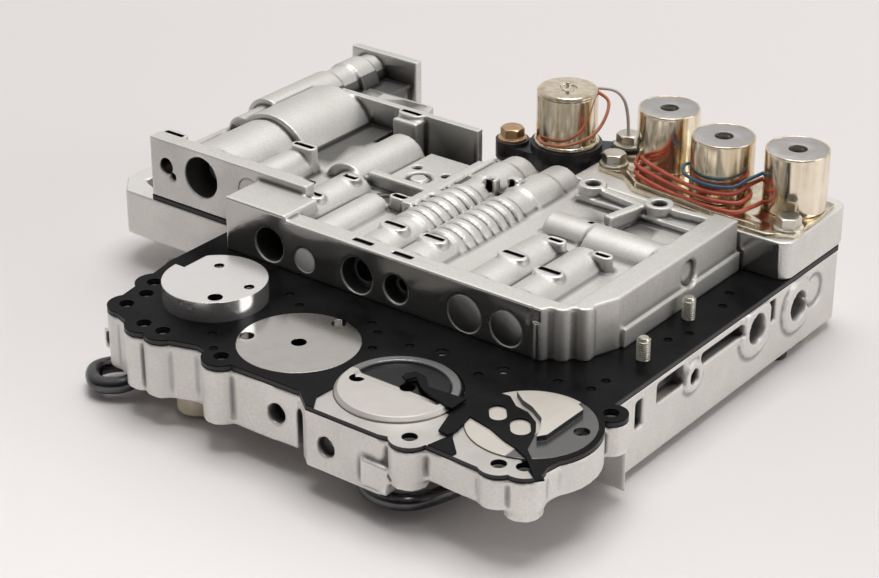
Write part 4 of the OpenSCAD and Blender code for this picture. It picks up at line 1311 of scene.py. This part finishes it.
class VALVEBODY_OT_leads(bpy.types.Operator):
    """Insulated leads of the solenoids"""

    bl_idname = "valve_body.leads"
    bl_label = "Leads"

    def on_can(self, can, angle, z):
        a = math.radians(angle)
        return (can[0] + LEAD_END * math.cos(a), can[1] + LEAD_END * math.sin(a), z)

    def execute(self, context):
        sides = context.scene.valve_body_sizes.lead_sides
        on = self.on_can
        reds = [
            path(
                on(FIRST_CAN, -110, 27), (-88, 144, 28), (-76, 138.5, 28), (-60, 133, 28),
                (-46, 131.5, 28), (-36, 136, 28), (-33, 145, 30), on(THIRD_CAN, 188, 31),
            ),
            path(
                on(FIRST_CAN, -130, 24.5), (-91, 143, 24.8), (-76, 136.5, 25), (-60, 132, 25),
                (-46, 130.5, 25), (-33, 134, 25), (-31, 143, 26), on(SECOND_CAN, 0, 26.5),
            ),
            path(
                on(FIRST_CAN, -115, 22), (-90, 141, 22), (-76, 134.5, 22), (-60, 131, 22),
                (-46, 129.5, 22), (-32, 131, 22), (-28, 140, 22.5), on(THIRD_CAN, 225, 23),
            ),
        ]
        made = [sweep(f"red_lead_{i}", r, RED_R, sides) for i, r in enumerate(reds)]
        join(made[0], *made[1:])
        made[0].name = "red_lead_bundle"
        mount(made[0], "red", "red_leads")
        thin = {
            "blue": path(
                on(SECOND_CAN, 171, 30), (-67, 146, 30.5), (-61, 136, 31), (-48, 132, 31),
                (-37, 136, 31), (-33, 144, 33), on(THIRD_CAN, 199, 34.5),
            ),
            "orange": path(
                on(LINE_CAN, -120, 28), (-137, 132.5, 27.5), (-126, 134, 28), (-117, 142.5, 32),
                (-115, 151, 38), (-117, 157.5, 45), on(LINE_CAN, 27, 49),
            ),
            "white": path(
                (-112, 168, 26.5), (-112.5, 167.5, 36), (-114, 166, 44), (-118, 163.5, 48.5),
                on(LINE_CAN, 46, 49),
            ),
        }
        for colour, route in thin.items():
            lead = sweep(f"{colour}_lead_run", route, THIN_R, sides)
            mount(lead, colour, f"{colour}_lead")
        return {"FINISHED"}


RIM = -28.3  # underside of the lower casting's rim
TUBE_SIDES = 24
SIDE_TUBE_R, TUBE_R = 0.00375, 0.0035


class VALVEBODY_OT_tubes(bpy.types.Operator):
    """Oil tubes, lower solenoid and seal under the castings"""

    bl_idname = "valve_body.tubes"
    bl_label = "Tubes"

    def tube(self, node, radius, route, start, end):
        made = sweep(f"{node}_run", route, radius, TUBE_SIDES, start, end)
        mount(made, "tube", node)

    def execute(self, context):
        z = RIM - 7
        down = Vector((0, 0, -1))
        route = path(
            (-203, -47.5, RIM + 3), (-206, -49.5, z + 2.5), (-213, -53.5, z), (-226, -62, z),
            (-230, -72, z), (-221, -80, z), (-212, -77, z + 0.5), (-206.5, -71, z + 3),
            (-203, -67, RIM + 3),
        )
        under = (at(0, 0, RIM), down)
        self.tube("side_tube", SIDE_TUBE_R, route, under, under)
        route = path(
            (-262.5, 53, RIM + 6), (-261.5, 46, RIM - 2.5), (-260, 37, RIM - 4),
            (-258, 22, RIM - 3.5), (-255, 8, RIM + 1), (-249, -3, -18), (-241, 1, -15),
            (-235, 8, -15), (-227, 12, -15),
        )
        beside = (at(-228, 0, 0), Vector((-1, 0, 0)))
        self.tube("bend_tube", TUBE_R, route, (at(0, 0, RIM + 3), down), beside)
        flat = ((-92, -11), (-91, -27), (-90, -42), (-84, -66), (-68, -79))
        flat += ((-51, -74), (-42, -48), (-40, -30), (-38, -11))
        before = (at(0, -12, 0), Vector((0, -1, 0)))
        self.tube("front_tube", TUBE_R, path(*((x, y, -33.5) for x, y in flat)), before, before)
        dress("lower_solenoid", "cream", 0.8)
        dress("seal_sleeve", "black", 0.8)
        return {"FINISHED"}


class VALVEBODY_PT_panel(bpy.types.Panel):
    """Lists the valve body's pieces"""

    bl_idname = "VALVEBODY_PT_panel"
    bl_label = "Valve Body"
    bl_space_type = "VIEW_3D"
    bl_region_type = "UI"
    bl_category = "Valve Body"

    def draw(self, context):
        layout = self.layout
        for group in (context.scene.valve_body_look, context.scene.valve_body_sizes):
            for name in group.__annotations__:
                layout.prop(group, name)
        for operator in OPERATORS:
            layout.operator(operator.bl_idname)


OPERATORS = (
    VALVEBODY_OT_stage,
    VALVEBODY_OT_castings,
    VALVEBODY_OT_plate_stack,
    VALVEBODY_OT_accumulators,
    VALVEBODY_OT_valves,
    VALVEBODY_OT_solenoids,
    VALVEBODY_OT_fasteners,
    VALVEBODY_OT_leads,
    VALVEBODY_OT_tubes,
)
CLASSES = (ValveBodyLook, ValveBodySizes, *OPERATORS, VALVEBODY_PT_panel)


def register():
    for cls in CLASSES:
        bpy.utils.register_class(cls)
    bpy.types.Scene.valve_body_look = PointerProperty(type=ValveBodyLook)
    bpy.types.Scene.valve_body_sizes = PointerProperty(type=ValveBodySizes)


def unregister():
    del bpy.types.Scene.valve_body_look
    del bpy.types.Scene.valve_body_sizes
    for cls in reversed(CLASSES):
        bpy.utils.unregister_class(cls)


def main():
    register()
    make_finishes(bpy.context.scene.valve_body_look)
    TREES["coil"] = coil_tree()
    TREES["repeat"] = repeat_tree()
    bpy.ops.valve_body.stage()
    bpy.ops.valve_body.castings()
    bpy.ops.valve_body.plate_stack()
    bpy.ops.valve_body.accumulators()
    bpy.ops.valve_body.valves()
    bpy.ops.valve_body.solenoids()
    bpy.ops.valve_body.fasteners()
    bpy.ops.valve_body.leads()
    bpy.ops.valve_body.tubes()
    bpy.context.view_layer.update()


if __name__ == "__main__":
    main()
